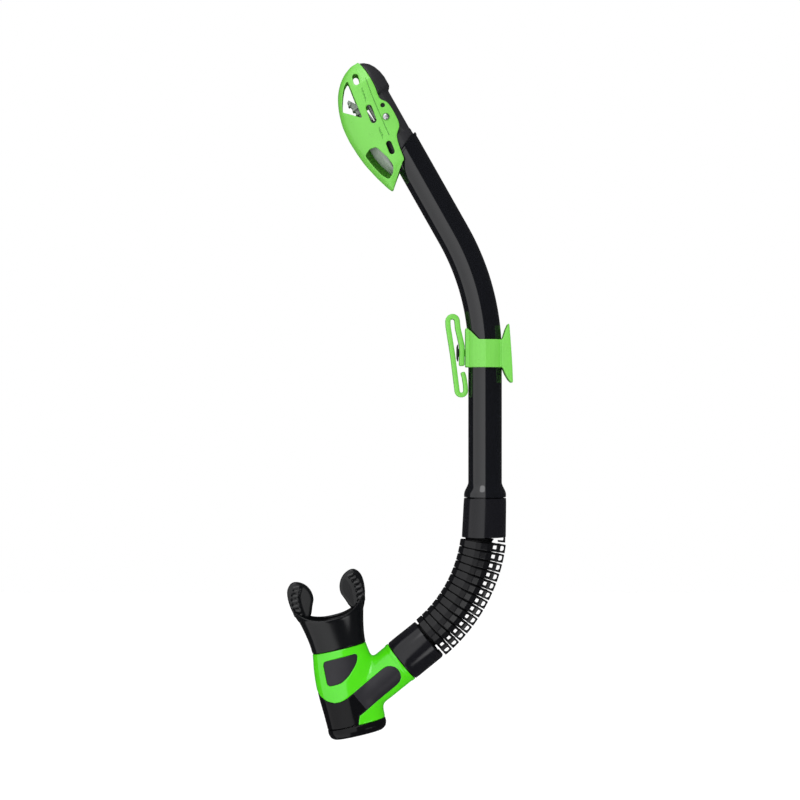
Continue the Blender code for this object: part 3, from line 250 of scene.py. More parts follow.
def moulding(name, colour, gloss, cloud=0.12, grain=900.0, depth=0.02, shine=0.5, metallic=0.0, scuff=0.06):
    """Plastic, rubber or metal: clouded colour, uneven gloss and a fine grain."""
    made = bpy.data.materials.new(name)
    made.use_nodes = True
    tree = made.node_tree
    shader = tree.nodes["Principled BSDF"]
    shader.inputs["Metallic"].default_value = metallic
    shader.inputs["Specular IOR Level"].default_value = shine
    place = tree.nodes.new("ShaderNodeTexCoord")

    clouds = tree.nodes.new("ShaderNodeTexNoise")
    clouds.inputs["Scale"].default_value = 120.0
    clouds.inputs["Detail"].default_value = 4.0
    tree.links.new(place.outputs["Object"], clouds.inputs["Vector"])
    tint = tree.nodes.new("ShaderNodeMix")
    tint.data_type = "RGBA"
    tint.inputs[6].default_value = (*(value * (1.0 - cloud) for value in colour), 1.0)
    tint.inputs[7].default_value = (*(min(1.0, value * (1.0 + cloud)) for value in colour), 1.0)
    tree.links.new(clouds.outputs["Fac"], tint.inputs[0])
    tree.links.new(tint.outputs[2], shader.inputs["Base Color"])

    wear = tree.nodes.new("ShaderNodeTexNoise")
    wear.inputs["Scale"].default_value = 45.0
    wear.inputs["Detail"].default_value = 6.0
    wear.inputs["Roughness"].default_value = 0.6
    tree.links.new(place.outputs["Object"], wear.inputs["Vector"])
    dull = tree.nodes.new("ShaderNodeMapRange")
    dull.inputs["From Min"].default_value = 0.35
    dull.inputs["From Max"].default_value = 0.75
    dull.inputs["To Min"].default_value = gloss
    dull.inputs["To Max"].default_value = gloss + scuff
    tree.links.new(wear.outputs["Fac"], dull.inputs["Value"])
    tree.links.new(dull.outputs["Result"], shader.inputs["Roughness"])

    skin = tree.nodes.new("ShaderNodeTexNoise")
    skin.inputs["Scale"].default_value = grain
    skin.inputs["Detail"].default_value = 3.0
    tree.links.new(place.outputs["Object"], skin.inputs["Vector"])
    bump = tree.nodes.new("ShaderNodeBump")
    bump.inputs["Strength"].default_value = depth
    bump.inputs["Distance"].default_value = 0.0004
    tree.links.new(skin.outputs["Fac"], bump.inputs["Height"])
    tree.links.new(bump.outputs["Normal"], shader.inputs["Normal"])
    return made


polished_black = moulding("polished_black", linear(15, 16, 20), 0.07, grain=500.0, depth=0.01, shine=0.55,
                          scuff=0.03)
cuff_black = moulding("cuff_black", linear(20, 20, 24), 0.12, grain=700.0, depth=0.02, shine=0.33)
core_black = moulding("core_black", linear(13, 13, 15), 0.08, grain=600.0, depth=0.015, shine=0.16)
link_black = moulding("link_black", linear(15, 15, 18), 0.20, depth=0.04, shine=0.30)
satin_black = moulding("satin_black", linear(24, 24, 27), 0.26, depth=0.05, shine=0.4)
matt_black = moulding("matt_black", linear(36, 36, 40), 0.42, grain=1500.0, depth=0.10)
panel_black = moulding("panel_black", linear(36, 35, 40), 0.38, grain=1600.0, depth=0.08, shine=0.3)
hose_rubber = moulding("hose_rubber", linear(11, 11, 13), 0.45, depth=0.05, shine=0.25)
silicone = moulding("silicone", linear(14, 15, 17), 0.14, grain=700.0, depth=0.02, shine=0.32, scuff=0.06)
leaf_green = moulding("leaf_green", linear(114, 203, 75), 0.26, cloud=0.05, grain=1300.0, depth=0.05, shine=0.6)
bright_green = moulding("bright_green", linear(76, 210, 20), 0.10, cloud=0.05, grain=600.0, depth=0.015,
                        shine=0.6, scuff=0.03)
float_grey = moulding("float_grey", linear(150, 160, 150), 0.3, cloud=0.10, grain=1500.0, depth=0.12)
soft_grey = moulding("soft_grey", linear(165, 168, 165), 0.35, cloud=0.06)
bright_steel = moulding("bright_steel", linear(200, 200, 205), 0.3, grain=2500.0, depth=0.05, metallic=1.0)
print(len(bpy.data.materials), "materials in the file")

# %% Finishes on the CAD nodes that stay
kept_nodes = {"purge_seat": satin_black, "purge_valve": soft_grey, "hose_clamp_ring": satin_black,
              "swivel_seal": silicone, "valve_seat": soft_grey, "valve_flap": soft_grey, "float_pin": bright_steel}
for node, look in kept_nodes.items():
    kept = frame["nodes"][node]
    kept.data.materials.clear()
    kept.data.materials.append(look)
print(len(kept_nodes), "CAD nodes keep their shape")

# %% [markdown]
# ## The frames the parts are drawn in
# The dry top leans with the barrel, the purge body leans with the mouth, and each link has its own place on the
# bend. Their places come from the joints, so the fine pieces land exactly on the CAD.

# %% Frames from the joints
def stand(x, z, turn):
    """A frame in the XZ plane, turned about Y."""
    return Matrix.Translation((x, 0.0, z)) @ Matrix.Rotation(turn, 4, "Y")


SLOT_TO_AXIS = 0.0191                   # strap slot to the barrel's axis
TOP_LEAN = math.radians(29.5)
PIVOT = Vector((-0.0108, 0.0, 0.0215))  # the lever's pin, in the dry top's frame
top_turn = Matrix.Rotation(-TOP_LEAN, 4, "Y")
pin = Vector(joints["float_swing"]["pos_m"])
dry_top = Matrix.Translation(pin - top_turn @ PIVOT) @ top_turn

swivel_point = Vector(joints["purge_swivel"]["pos_m"])
swivel_axis = Vector(joints["purge_swivel"]["axis"])
cuff_heading = math.atan2(swivel_axis.x, swivel_axis.z)
swivel = stand(swivel_point.x, swivel_point.z, cuff_heading)
chamber = stand(swivel_point.x - 0.0298, swivel_point.z - 0.0405, math.radians(-13.0))

LINKS = 13
FLEX_RADIUS = 0.0976
FLEX_START = math.radians(5.6)
LINK_STEP = math.radians(3.3)
POST_OUT = 0.01035                      # hinge line of the links, outside their centre line
first_post = Vector(joints["flex_01"]["pos_m"])
first_heading = FLEX_START + 0.5 * LINK_STEP
first_way = Vector((math.cos(first_heading), 0.0, -math.sin(first_heading)))
flex_centre = first_post - first_way * (FLEX_RADIUS + POST_OUT)
print("swivel", tuple(swivel_point), "centre of the bend", tuple(flex_centre))


def flex_frame(step):
    """The frame of a place on the bend, counted in links from the upper cuff."""
    heading = FLEX_START + step * LINK_STEP
    x = flex_centre.x + FLEX_RADIUS * math.cos(heading)
    z = flex_centre.z - FLEX_RADIUS * math.sin(heading)
    return stand(x, z, heading)


# %% [markdown]
# ## The barrel
# The barrel is one extruded tube, bent with heat near its top, cut off at a slant and belled at its foot. A grid is
# bent round the tube's axis, and its rows follow a list of heights and radii, out and back down the bore, so that
# wall, rim and bell come out of one surface.

# %% Barrel
BARREL_R = 0.0109
BARREL_BORE = 0.0095
BELL_R = 0.01365
BEND_RADIUS = 0.158
BEND_FROM = -0.0010                     # height where the bend begins
BARREL_FOOT = -0.0936
TOP_RUN = 0.065                         # straight run above the bend
TOP_CUT = math.radians(26.0)            # slant of its upper end


def barrel_axis(length):
    """Place and lean of the axis, at a length counted from the start of the bend."""
    if length <= 0.0:
        return SLOT_TO_AXIS, BEND_FROM + length, 0.0
    turn = min(length / BEND_RADIUS, TOP_LEAN)
    beyond = max(0.0, length - BEND_RADIUS * TOP_LEAN)
    x = SLOT_TO_AXIS - BEND_RADIUS * (1.0 - math.cos(turn)) - beyond * math.sin(turn)
    return x, BEND_FROM + BEND_RADIUS * math.sin(turn) + beyond * math.cos(turn), turn


barrel_top = BEND_RADIUS * TOP_LEAN + TOP_RUN
foot = BARREL_FOOT - BEND_FROM
barrel_rows = [(foot - 0.0175, 0.0084), (foot - 0.0175, 0.0098), (foot, 0.0098), (foot, BELL_R - 0.0003),
               (foot + 0.0003, BELL_R), (foot + 0.0016, BELL_R)]
for index in range(13):
    part = index / 12
    ease = part * part * (3 - 2 * part)
    barrel_rows.append((foot + 0.0018 + 0.0080 * part, BELL_R - (BELL_R - BARREL_R) * ease))
run_start = foot + 0.0100
for index in range(1, 61):
    barrel_rows.append((run_start + (barrel_top - 0.0022 - run_start) * index / 60, BARREL_R))
barrel_rows += [(barrel_top - 0.0019, BARREL_R), (barrel_top - 0.0015, BARREL_R + 0.0004),
                (barrel_top - 0.0004, BARREL_R + 0.0004), (barrel_top, BARREL_R),
                (barrel_top, BARREL_BORE + 0.0002), (barrel_top - 0.0003, BARREL_BORE)]
for index in range(1, 31):
    barrel_rows.append((barrel_top - 0.0004 - (barrel_top - foot - 0.004) * index / 30, BARREL_BORE))
barrel_rows += [(foot, 0.0084), (foot - 0.0175, 0.0084)]


def barrel_place(u, v):
    length, radius = row(barrel_rows, v)
    x, z, turn = barrel_axis(length)
    around = 2.0 * math.pi * u
    across = radius * math.cos(around)
    slant = min(max((length - barrel_top + 0.030) / 0.030, 0.0), 1.0) * math.tan(TOP_CUT) * across
    return Vector((x + across * math.cos(turn) - slant * math.sin(turn), radius * math.sin(around),
                   z + across * math.sin(turn) + slant * math.cos(turn)))


barrel = smooth(wrap("barrel", 96, len(barrel_rows) - 1, barrel_place))
settle(barrel, "barrel", "gloss_black", polished_black, "barrel_tube")

# %% [markdown]
# ## The two cuffs
# Each cuff is a turned ring with eased edges. The upper one grips the barrel's bell and leans a little towards the
# head where the hose leaves it. Each carries a half link on its outer side, which the first and last links rock on.

# %% Cuffs
CUFF_TOP = BARREL_FOOT - 0.0006
CUFF_LENGTH = 0.0253
CUFF_BOTTOM = CUFF_TOP - CUFF_LENGTH


def cuff_lean(height):
    return SLOT_TO_AXIS - 0.0008 * (CUFF_TOP - height) / CUFF_LENGTH


CUFF_LOW_R = 0.0143
POST_IN = 0.0093                        # inner face of the links' posts
upper_cuff_profile = [(CUFF_LOW_R, CUFF_BOTTOM), (0.01385, CUFF_TOP - 0.0035), (BELL_R, CUFF_TOP),
                      (0.0122, CUFF_TOP), (0.0122, CUFF_BOTTOM)]
upper_cuff = lathe("upper_cuff_moulding", upper_cuff_profile, 0.0004, 96, cuff_lean)
tip = -0.0022
stub = [(0.0128, 0.0016), (0.0138, 0.0015), (0.0141, tip), (POST_IN, tip), (POST_IN, tip + 0.0010),
        (0.0128, tip + 0.0010)]
with_other(upper_cuff, moved(slab("stub", rounded(stub, 0.0002, 2), -0.0026, 0.0026), flex_frame(0)), "UNION")
smooth(upper_cuff, 35.0)
settle(upper_cuff, "barrel", "gloss_black", cuff_black, "upper_cuff")

CUFF_STEP = 13.79                       # where the lower cuff begins, in links
LOWER_CUFF = 0.0220
lower_place = flex_frame(CUFF_STEP)
lower_cuff_profile = [(0.0144, -LOWER_CUFF), (0.0145, -0.0190), (0.0144, 0.0), (0.0126, 0.0), (0.0126, -LOWER_CUFF)]
lower_cuff = lathe("lower_cuff_moulding", lower_cuff_profile, 0.0005)
tip = 0.0010
stub = [(0.0128, -0.0012), (0.0141, -0.0012), (0.0135, tip), (POST_IN, tip), (POST_IN, tip - 0.0010),
        (0.0128, tip - 0.0010)]
with_other(lower_cuff, slab("stub", rounded(stub, 0.0002, 2), -0.0026, 0.0026), "UNION")
moved(lower_cuff, lower_place)
smooth(lower_cuff, 35.0)
settle(lower_cuff, "lower_cuff", "gloss_black", cuff_black, "lower_cuff")

# %% [markdown]
# ## The hose
# The hose is a soft corrugated tube, which on the real snorkel bends with the links. It is made in short lengths,
# one from link to link, and each length turns smoothly along the bend between the places of its two links. A crest
# sits inside each link.

# %% Hose in lengths
HOSE_R = 0.0098
HOSE_SHIFT = 0.0030
WAVE = 0.0011


def hose_radius(step):
    return HOSE_R - 0.5 * WAVE * (1.0 - math.cos(2.0 * math.pi * step))


def hose_length(index):
    """One length of hose, from a link's middle to the next one's, with its bore."""
    start = index if index else 0.12
    end = index + 1 if index < LINKS else CUFF_STEP
    rows = [(start + (end - start) * step / 16, 0.0) for step in range(17)]
    rows += [(step, 1.0) for step, _ in reversed(rows)]
    rows.append(rows[0])

    def place(u, v):
        step, inside = row(rows, v)
        radius = hose_radius(step) - 0.0014 * inside
        turn = 2.0 * math.pi * u
        return flex_frame(step) @ Vector((radius * math.cos(turn) - HOSE_SHIFT, radius * math.sin(turn), 0.0))
    return smooth(wrap("hose_%02d" % index, 48, len(rows) - 1, place)), start, end


for index in range(LINKS + 1):
    length, start, end = hose_length(index)
    length.data.materials.append(hose_rubber)
    flex_frame(start).translation
    flex_frame(end).translation
    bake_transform(length)
    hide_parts("bellows_hose")
print(LINKS + 1, "lengths of hose")

# %% [markdown]
# ## The exoskeleton
# Thirteen equal links stand round the hose. One is finished in its own frame, softened like a moulding, and then
# copied to each place with its own mesh, so each can ride on its own body.

# %% Links
pattern = copy_of("exo_link_07")
moved(pattern, flex_frame(7).inverted())
moulded(pattern, 0.00024, 2)
for index in range(1, LINKS + 1):
    link = bpy.data.objects.new("link_moulding_%02d" % index, pattern.data.copy())
    bpy.context.scene.collection.objects.link(link)
    moved(link, flex_frame(index))
    settle(link, "link_%02d" % index, "satin_black", link_black, "exo_link_%02d" % index)
bpy.data.objects.remove(pattern, do_unlink=True)

# %% [markdown]
# ## The purge body
# A tall oval chamber and a slanted branch run into each other in a smooth fillet. A bright skin is moulded over a
# black core, and the core stands up flush through three openings in the skin. Both come from the same form, drawn
# at two depths, so they always fit.

# %% The form of the purge body
LOBE_HEIGHT = 0.0500
LOBE_WIDTH = [(0.0, 0.0192), (0.2, 0.0195), (0.4, 0.0200), (0.6, 0.0200), (0.8, 0.0192), (1.0, 0.0177)]
LOBE_DEPTH = [(0.0, 0.0136), (0.25, 0.0144), (0.5, 0.0148), (0.75, 0.0142), (1.0, 0.0130)]
BRANCH_R = 0.0140
BRANCH_RUN = 0.0390
SKIN = 0.0013


def oval(half_x, half_y, u):
    """A point on a shape between an ellipse and a rounded box."""
    turn = 2.0 * math.pi * u
    x = math.copysign(abs(math.cos(turn)) ** 0.86, math.cos(turn))
    y = math.copysign(abs(math.sin(turn)) ** 0.86, math.sin(turn))
    return half_x * x, half_y * y


def lobe(name, inset, low, high, rows=44):
    """The upright chamber as a closed solid."""
    def place(u, v):
        size = min(1.0, v * rows, (1.0 - v) * rows)
        height = low + (high - low) * min(max((v * rows - 1) / (rows - 2), 0.0), 1.0)
        part = min(max(height / LOBE_HEIGHT, 0.0), 1.0)
        wide = curve(LOBE_WIDTH, part)[1] - inset
        deep = curve(LOBE_DEPTH, part)[1] - inset
        x, y = oval(wide, deep, u)
        return Vector((x * size, y * size, height))
    return moved(wrap(name, 96, rows, place), chamber)


def bar(name, radius, low, high, place, around=72):
    """A plain round bar with closed ends."""
    pick()
    bpy.ops.mesh.primitive_cylinder_add(vertices=around, radius=radius, depth=high - low, location=(0.0, 0.0, 0.0))
    piece = bpy.context.object
    piece.name = name
    moved(piece, Matrix.Translation((0.0, 0.0, 0.5 * (low + high))))
    return moved(piece, place)


def purge_form(name, inset, lip):
    """Chamber and branch in one, with the crotch between them filled to a smooth fillet."""
    form = lobe(name, inset, 0.0, LOBE_HEIGHT)
    with_other(form, bar("branch", BRANCH_R - inset, -BRANCH_RUN, -0.0006, swivel), "UNION")
    change(form, "REMESH", mode="VOXEL", voxel_size=0.0006)
    crotch = form.vertex_groups.new(name="crotch")
    back = chamber.inverted()
    along = swivel.inverted()
    for vertex in form.data.vertices:
        place = back @ vertex.co
        wide = curve(LOBE_WIDTH, place.z / LOBE_HEIGHT)[1] - inset
        deep = curve(LOBE_DEPTH, place.z / LOBE_HEIGHT)[1] - inset
        from_lobe = math.hypot(place.x / wide, place.y / deep) - 1.0
        branch_place = along @ vertex.co
        from_branch = math.hypot(branch_place.x, branch_place.y) / (BRANCH_R - inset) - 1.0
        near = max(abs(from_lobe) * wide, abs(from_branch) * BRANCH_R)
        end = min(place.z, LOBE_HEIGHT - place.z, -branch_place.z) / 0.0025
        weight = max(0.0, 1.0 - near / 0.0070) * min(max(end, 0.0), 1.0)
        if place.x > 0.0 and weight > 0.0:
            crotch.add([vertex.index], weight, "REPLACE")
    change(form, "SMOOTH", factor=0.8, iterations=120, vertex_group="crotch")
    if lip:
        ring = lathe("lip", [(BRANCH_R - 0.004, -0.0034), (BRANCH_R - 0.0001, -0.0034), (BRANCH_R + lip, -0.0026),
                             (BRANCH_R + lip, -0.0006), (BRANCH_R - 0.004, -0.0006)], 0.0002)
        with_other(form, moved(ring, swivel), "UNION")
    return form


PILL_LOW = Vector((0.0020, 0.0125))     # centres of the sunk panel's two round ends
PILL_HIGH = Vector((0.0285, 0.0258))
PILL_HALF = 0.0070
PILL_FADE = 0.0045                      # the panel's own grain starts this far along it
PILL = capsule(PILL_LOW, PILL_HIGH, PILL_HALF)
WINDOW = [(-0.0118, 0.0446), (0.0115, 0.0452), (0.0096, 0.0393), (0.0031, 0.0325), (-0.0030, 0.0287),
          (-0.0122, 0.0283)]
CHAMBER_FRONT = [(-0.0260, 0.0278), (-0.0202, 0.0278), (-0.0190, 0.0236), (-0.0150, 0.0194), (-0.0100, 0.0171),
                 (-0.0050, 0.0173), (0.0011, 0.0195), (0.0060, 0.0100), (0.0029, 0.0036), (0.0015, -0.0010),
                 (0.0015, -0.0100), (-0.0260, -0.0100)]


def openings(name):
    """The three shapes where the core shows, joined where they meet."""
    shape = slab(name, PILL, -0.03, 0.03)
    with_other(shape, slab("front", rounded(CHAMBER_FRONT, 0.0015, 3), -0.031, 0.031), "UNION")
    with_other(shape, slab("window", rounded(WINDOW, 0.0028, 5), -0.032, 0.032), "UNION")
    return moved(shape, chamber)


# %% Bright skin
skin = purge_form("purge_skin_moulding", 0.0, 0.0004)
with_other(skin, purge_form("inside", SKIN, 0.0), "DIFFERENCE")
with_other(skin, bar("branch_bore", BRANCH_R - SKIN, -0.012, 0.001, swivel), "DIFFERENCE")
with_other(skin, openings("skin_openings"), "DIFFERENCE")
moulded(skin, 0.00040, 3)
settle(skin, "purge", "purge_green", bright_green, "purge_skin")

# %% Black core
core = purge_form("purge_core_moulding", SKIN + 0.0003, 0.0)
raised = purge_form("raised", 0.0002, 0.0)
with_other(raised, openings("core_openings"), "INTERSECT")
with_other(core, raised, "UNION")
NIPPLE_R = 0.0122
with_other(core, bar("nipple", NIPPLE_R, -0.004, 0.0100, swivel), "UNION")
neck_rows = [(0.0, 0.046), (1.0, 0.046), (1.0, 0.0578), (0.96, 0.0580), (0.0, 0.0580)]


def neck_place(u, v):
    size, height = row(neck_rows, v)
    x, y = oval(0.0135 * size, 0.0088 * size, u)
    return Vector((x, y, height))


with_other(core, moved(wrap("neck", 64, 4, neck_place), chamber), "UNION")
with_other(core, lobe("hollow", SKIN + 0.0023, 0.0030, LOBE_HEIGHT - 0.0030), "DIFFERENCE")
with_other(core, bar("airway", NIPPLE_R - 0.0018, -0.030, 0.011, swivel), "DIFFERENCE")
mouth_bore = wrap("mouth_bore", 64, 4, lambda u, v: neck_place(u, v) * 0.86 + Vector((0.0, 0.0, 0.0075)))
with_other(core, moved(mouth_bore, chamber), "DIFFERENCE")
with_other(core, bar("port", 0.0099, -0.002, 0.004, chamber), "DIFFERENCE")
moulded(core, 0.00040, 3)
settle(core, "purge", "gloss_black", core_black, "purge_core")
core.data.materials.append(panel_black)
to_chamber = chamber.inverted()
pill_run = (PILL_HIGH - PILL_LOW).length
pill_way = (PILL_HIGH - PILL_LOW).normalized()
for face in core.data.polygons:
    place = to_chamber @ face.center
    in_window = place.z > 0.0275 and place.x < 0.0130 and abs(place.y) > 0.0105 and place.z < 0.0462
    from_low = Vector((place.x, place.z)) - PILL_LOW
    along = min(max(from_low.dot(pill_way), 0.0), pill_run)
    on_pill = (from_low - pill_way * along).length < PILL_HALF and abs(place.y) > 0.008
    if in_window or (on_pill and along > PILL_FADE):
        face.material_index = 1

# %% Cap
cap = moulded(copy_of("purge_cap"), 0.00035, 6)
settle(cap, "purge", "gloss_black", core_black, "purge_cap")

# %% [markdown]
# ## The mouthpiece
# Soft silicone flares from an oval neck to a lip shield that rises to both corners of the mouth, with a rolled
# edge. Two bite tabs stand on the corners. Each is a thick pad with a raised rim and a ladder of ridges for grip.

# %% Lip shield
MOUTH_RIM = 0.0198                      # rim above the purge body, at the lips
MOUTH_RISE = 0.0101                     # and how much higher it is at the corners
MOUTH_HALF = 0.0234
MOUTH_DEEP = 0.0150
MOUTH_WALL = 0.0020
mouth_base = LOBE_HEIGHT + 0.0003
shield_rows = [(part / 24, 1.0) for part in range(25)] + [(1.0, 0.75), (1.0, 0.5), (1.0, 0.25)]
shield_rows += [(1.0 - part / 24, 0.0) for part in range(25)] + [(0.0, 0.5), (0.0, 1.0)]


def shield_place(u, v):
    part, outside = row(shield_rows, v)
    flare = part ** 1.8
    wide = 0.0177 + (MOUTH_HALF - 0.0177) * flare
    deep = 0.0130 + (MOUTH_DEEP - 0.0130) * flare
    tight = max(0.0, 1.0 - 2.2 * part)
    bead = 0.0005 * math.exp(-((1.0 - part) / 0.035) ** 2)
    inset = (MOUTH_WALL + 0.0019 * tight + bead) * (1.0 - outside) - bead * outside
    x, y = oval(wide - inset, deep - inset, u)
    rise = MOUTH_RISE * (abs(x) / MOUTH_HALF) ** 2.5
    roll = 0.0005 * math.sin(math.pi * outside) if part == 1.0 else 0.0
    return Vector((x, y, mouth_base + part * (MOUTH_RIM + rise) + roll))


mouthpiece = wrap("mouthpiece_moulding", 128, len(shield_rows) - 1, shield_place)

# %% Bite tabs
corner = mouth_base + MOUTH_RIM + MOUTH_RISE
TAB = [(0.0140, -0.0068), (0.0205, -0.0090), (0.0238, -0.0020), (0.0252, 0.0060), (0.0246, 0.0130), (0.0215, 0.0172),
       (0.0175, 0.0176), (0.0128, 0.0150), (0.0098, 0.0105), (0.0090, 0.0050), (0.0108, 0.0000)]
TAB_SPINE = [(0.0205, -0.0040), (0.0212, 0.0020), (0.0208, 0.0085), (0.0180, 0.0140)]


def closed_curve(corners, steps=5):
    """A smooth closed outline through a few points."""
    points = []
    count = len(corners)
    for index in range(count):
        near = [corners[(index + shift) % count] for shift in (-1, 0, 1, 2)]
        points += [curve(near, (1.0 + step / steps) / 3.0) for step in range(steps)]
    return points


def bite_tab(side):
    """A pad with a raised rim and a ladder of ridges on both faces."""
    def put(points):
        return [(side * x, corner + z) for x, z in points]

    pad = slab("pad", put(closed_curve(TAB)), -0.0034, 0.0034)
    change(pad, "BEVEL", width=0.0011, segments=4, limit_method="ANGLE", angle_limit=math.radians(60))
    for level in range(7):
        x, z = curve(TAB_SPINE, level / 6)
        rung = capsule((x - 0.0019, z - 0.0002), (x + 0.0017, z + 0.0003), 0.0006, 4)
        with_other(pad, slab("rung", put(rung), -0.0039, 0.0039), "UNION")
    for edge in (-1.0, 1.0):
        rail = [curve([(x + edge * 0.0026, z) for x, z in TAB_SPINE], step / 8) for step in range(9)]
        outer = [(x + 0.00045, z) for x, z in rail] + [(x - 0.00045, z) for x, z in reversed(rail)]
        with_other(pad, slab("rail", put(outer), -0.0038, 0.0038), "UNION")
    return pad


for side in (-1.0, 1.0):
    with_other(mouthpiece, bite_tab(side), "UNION")
moved(mouthpiece, chamber)
moulded(mouthpiece, 0.00040, 4)
settle(mouthpiece, "purge", "black_silicone", silicone, "mouthpiece")

# %% [markdown]
# ## The strap clip
# Collar and hook are small mouldings with flat sides. The CAD shape is right, so a copy of it is softened, which
# rounds each edge a little, as the mould does.

# %% Collar, hook and stud
collar = moulded(copy_of("strap_collar"), 0.00035, 4)
settle(collar, "collar", "light_green", leaf_green, "strap_collar")
hook = moulded(copy_of("strap_hook"), 0.00030, 4)
settle(hook, "hook", "light_green", leaf_green, "strap_hook")
stud = moulded(copy_of("swivel_stud"), 0.00025, 3)
settle(stud, "collar", "satin_black", satin_black, "swivel_stud")

# %% [markdown]
# ## The dry top
# The splash cover is a thin shell: flat where it lies beside the neck, sloping to a rounded prow on the head side.
# A grid is bent to its outer face, thickened inward, and the windows and slots are punched through. Short grooves
# and one long crease are cut in its face afterwards, so that they stay crisp.

# %% Cover
COVER_HALF = 0.0122
COVER_ROWS = [  # height, edge towards the head, edge over the neck
    (-0.0208, -0.0209, -0.0196), (-0.0170, -0.0226, -0.0157), (-0.0090, -0.0251, -0.0064),
    (-0.0071, -0.0256, -0.0043), (0.0015, -0.0276, -0.0029), (0.0081, -0.0285, -0.0009),
    (0.0132, -0.0289, 0.0037), (0.0212, -0.0292, 0.0048), (0.0293, -0.0286, 0.0042),
    (0.0344, -0.0276, 0.0012), (0.0423, -0.0251, 0.0022), (0.0500, -0.0212, 0.0024),
    (0.0560, -0.0162, 0.0020), (0.0600, -0.0108, 0.0014), (0.0623, -0.0052, 0.0008)]
COVER_SIDE = [  # across from the prow, depth
    (1.0, 1.0), (0.86, 1.0), (0.72, 0.99), (0.45, 0.93), (0.25, 0.80), (0.11, 0.58), (0.03, 0.30), (0.0, 0.0)]


def cover_place(u, v):
    """A point of the cover's outer face: u runs round from edge to edge, v from the bottom to the top."""
    height, head_edge, neck_edge = curve(COVER_ROWS, v)
    across, depth = curve(COVER_SIDE, 1.0 - abs(2.0 * u - 1.0))
    fade = min(1.0, (height + 0.0235) / 0.016, (0.0655 - height) / 0.017)
    deep = max(COVER_HALF * max(fade, 0.0) ** 0.5, 0.0012)
    x = head_edge + max(across, 0.0) * (neck_edge - head_edge)
    return Vector((x, math.copysign(depth * deep, u - 0.5), height))


cover = wrap("cover_moulding", 64, 84, cover_place)
change(cover, "SOLIDIFY", thickness=0.0015, offset=-1.0, use_even_offset=True)
windows = [
    (rounded([(-0.0113, 0.0548), (-0.0150, 0.0525), (-0.0185, 0.0481), (-0.0218, 0.0430), (-0.0238, 0.0387),
              (-0.0148, 0.0288)], 0.0009, 3), 0.03),
    (capsule((-0.0056, 0.0545), (-0.0066, 0.0508), 0.0019), 0.03),
    (capsule((-0.0078, 0.0325), (-0.0092, 0.0240), 0.0019), 0.03),
    (capsule((-0.0080, 0.0060), (-0.0088, 0.0006), 0.0018), 0.03),
    (rounded([(-0.0250, 0.0070), (-0.0205, 0.0092), (-0.0162, 0.0082), (-0.0130, -0.0015), (-0.0124, -0.0077),
              (-0.0150, -0.0118), (-0.0192, -0.0137), (-0.0218, -0.0090), (-0.0238, -0.0010)], 0.0012, 3), 0.0)]
for outline, far in windows:
    with_other(cover, slab("window", outline, -0.03, far), "DIFFERENCE")
SCREW = (-0.0011, 0.0219)
PEG = (0.0007, 0.0295)
for (x, z), radius in ((SCREW, 0.0014), (PEG, 0.0015)):
    hole = capsule((x - 0.00001, z), (x + 0.00001, z), radius)
    with_other(cover, slab("hole", hole, -0.03, 0.03), "DIFFERENCE")
moulded(cover, 0.00040, 3)

# %% Grooves and crease in the cover
groove_way = Vector((math.sin(TOP_LEAN), math.cos(TOP_LEAN))) * 0.0013
marks = []
for start, end in (((-0.0060, 0.0445), (-0.0070, 0.0382)), ((-0.0088, 0.0169), (-0.0093, 0.0121))):
    for index in range(4):
        middle = Vector(start).lerp(Vector(end), index / 3)
        marks.append(capsule(middle - groove_way, middle + groove_way, 0.00027, 4))
crease = [(0.0000, 0.0530), (-0.0008, 0.0470), (-0.0021, 0.0393), (-0.0036, 0.0270), (-0.0052, 0.0106)]
marks.append([(x + 0.00028, z) for x, z in crease] + [(x - 0.00028, z) for x, z in reversed(crease)])
marks.append(capsule((SCREW[0] - 0.00001, SCREW[1]), (SCREW[0], SCREW[1]), 0.0024, 10))
for outline in marks:
    for side in (-1.0, 1.0):
        depth = sorted((side * (COVER_HALF - 0.0008), side * (COVER_HALF + 0.002)))
        with_other(cover, slab("mark", outline, *depth), "DIFFERENCE")
moved(cover, dry_top)
smooth(cover, 50.0)
settle(cover, "barrel", "light_green", leaf_green, "dry_top_shell")

# %% Housing, float and lever
housing = moulded(copy_of("dry_top_housing"), 0.00040, 6)
settle(housing, "barrel", "satin_black", matt_black, "dry_top_housing")
float_body = moulded(copy_of("float"), 0.00040, 5)
settle(float_body, "float_arm", "grey_plastic", float_grey, "float")
lever = copy_of("float_lever")
lever_place = Matrix.Translation(pin) @ top_turn @ Matrix.Rotation(math.radians(-9.0), 4, "Y")
web = [(-0.0030, 0.0045), (-0.0038, 0.0225), (-0.0022, 0.0232), (0.0002, 0.0178), (0.0002, 0.0045)]
with_other(lever, moved(slab("web", web, -0.0042, 0.0042), lever_place), "UNION")
rib = [(-0.0046, 0.0195), (-0.0046, 0.0206), (-0.0024, 0.0211), (-0.0024, 0.0200)]
with_other(lever, moved(slab("rib", rib, -0.0055, 0.0055), lever_place), "UNION")
moulded(lever, 0.00025, 3)
settle(lever, "float_arm", "grey_plastic", float_grey, "float_lever")

# %% [markdown]
# ## The screws
# A small pan-head screw holds each side of the cover. The head is turned with a domed top, and a cross recess is cut
# in it.

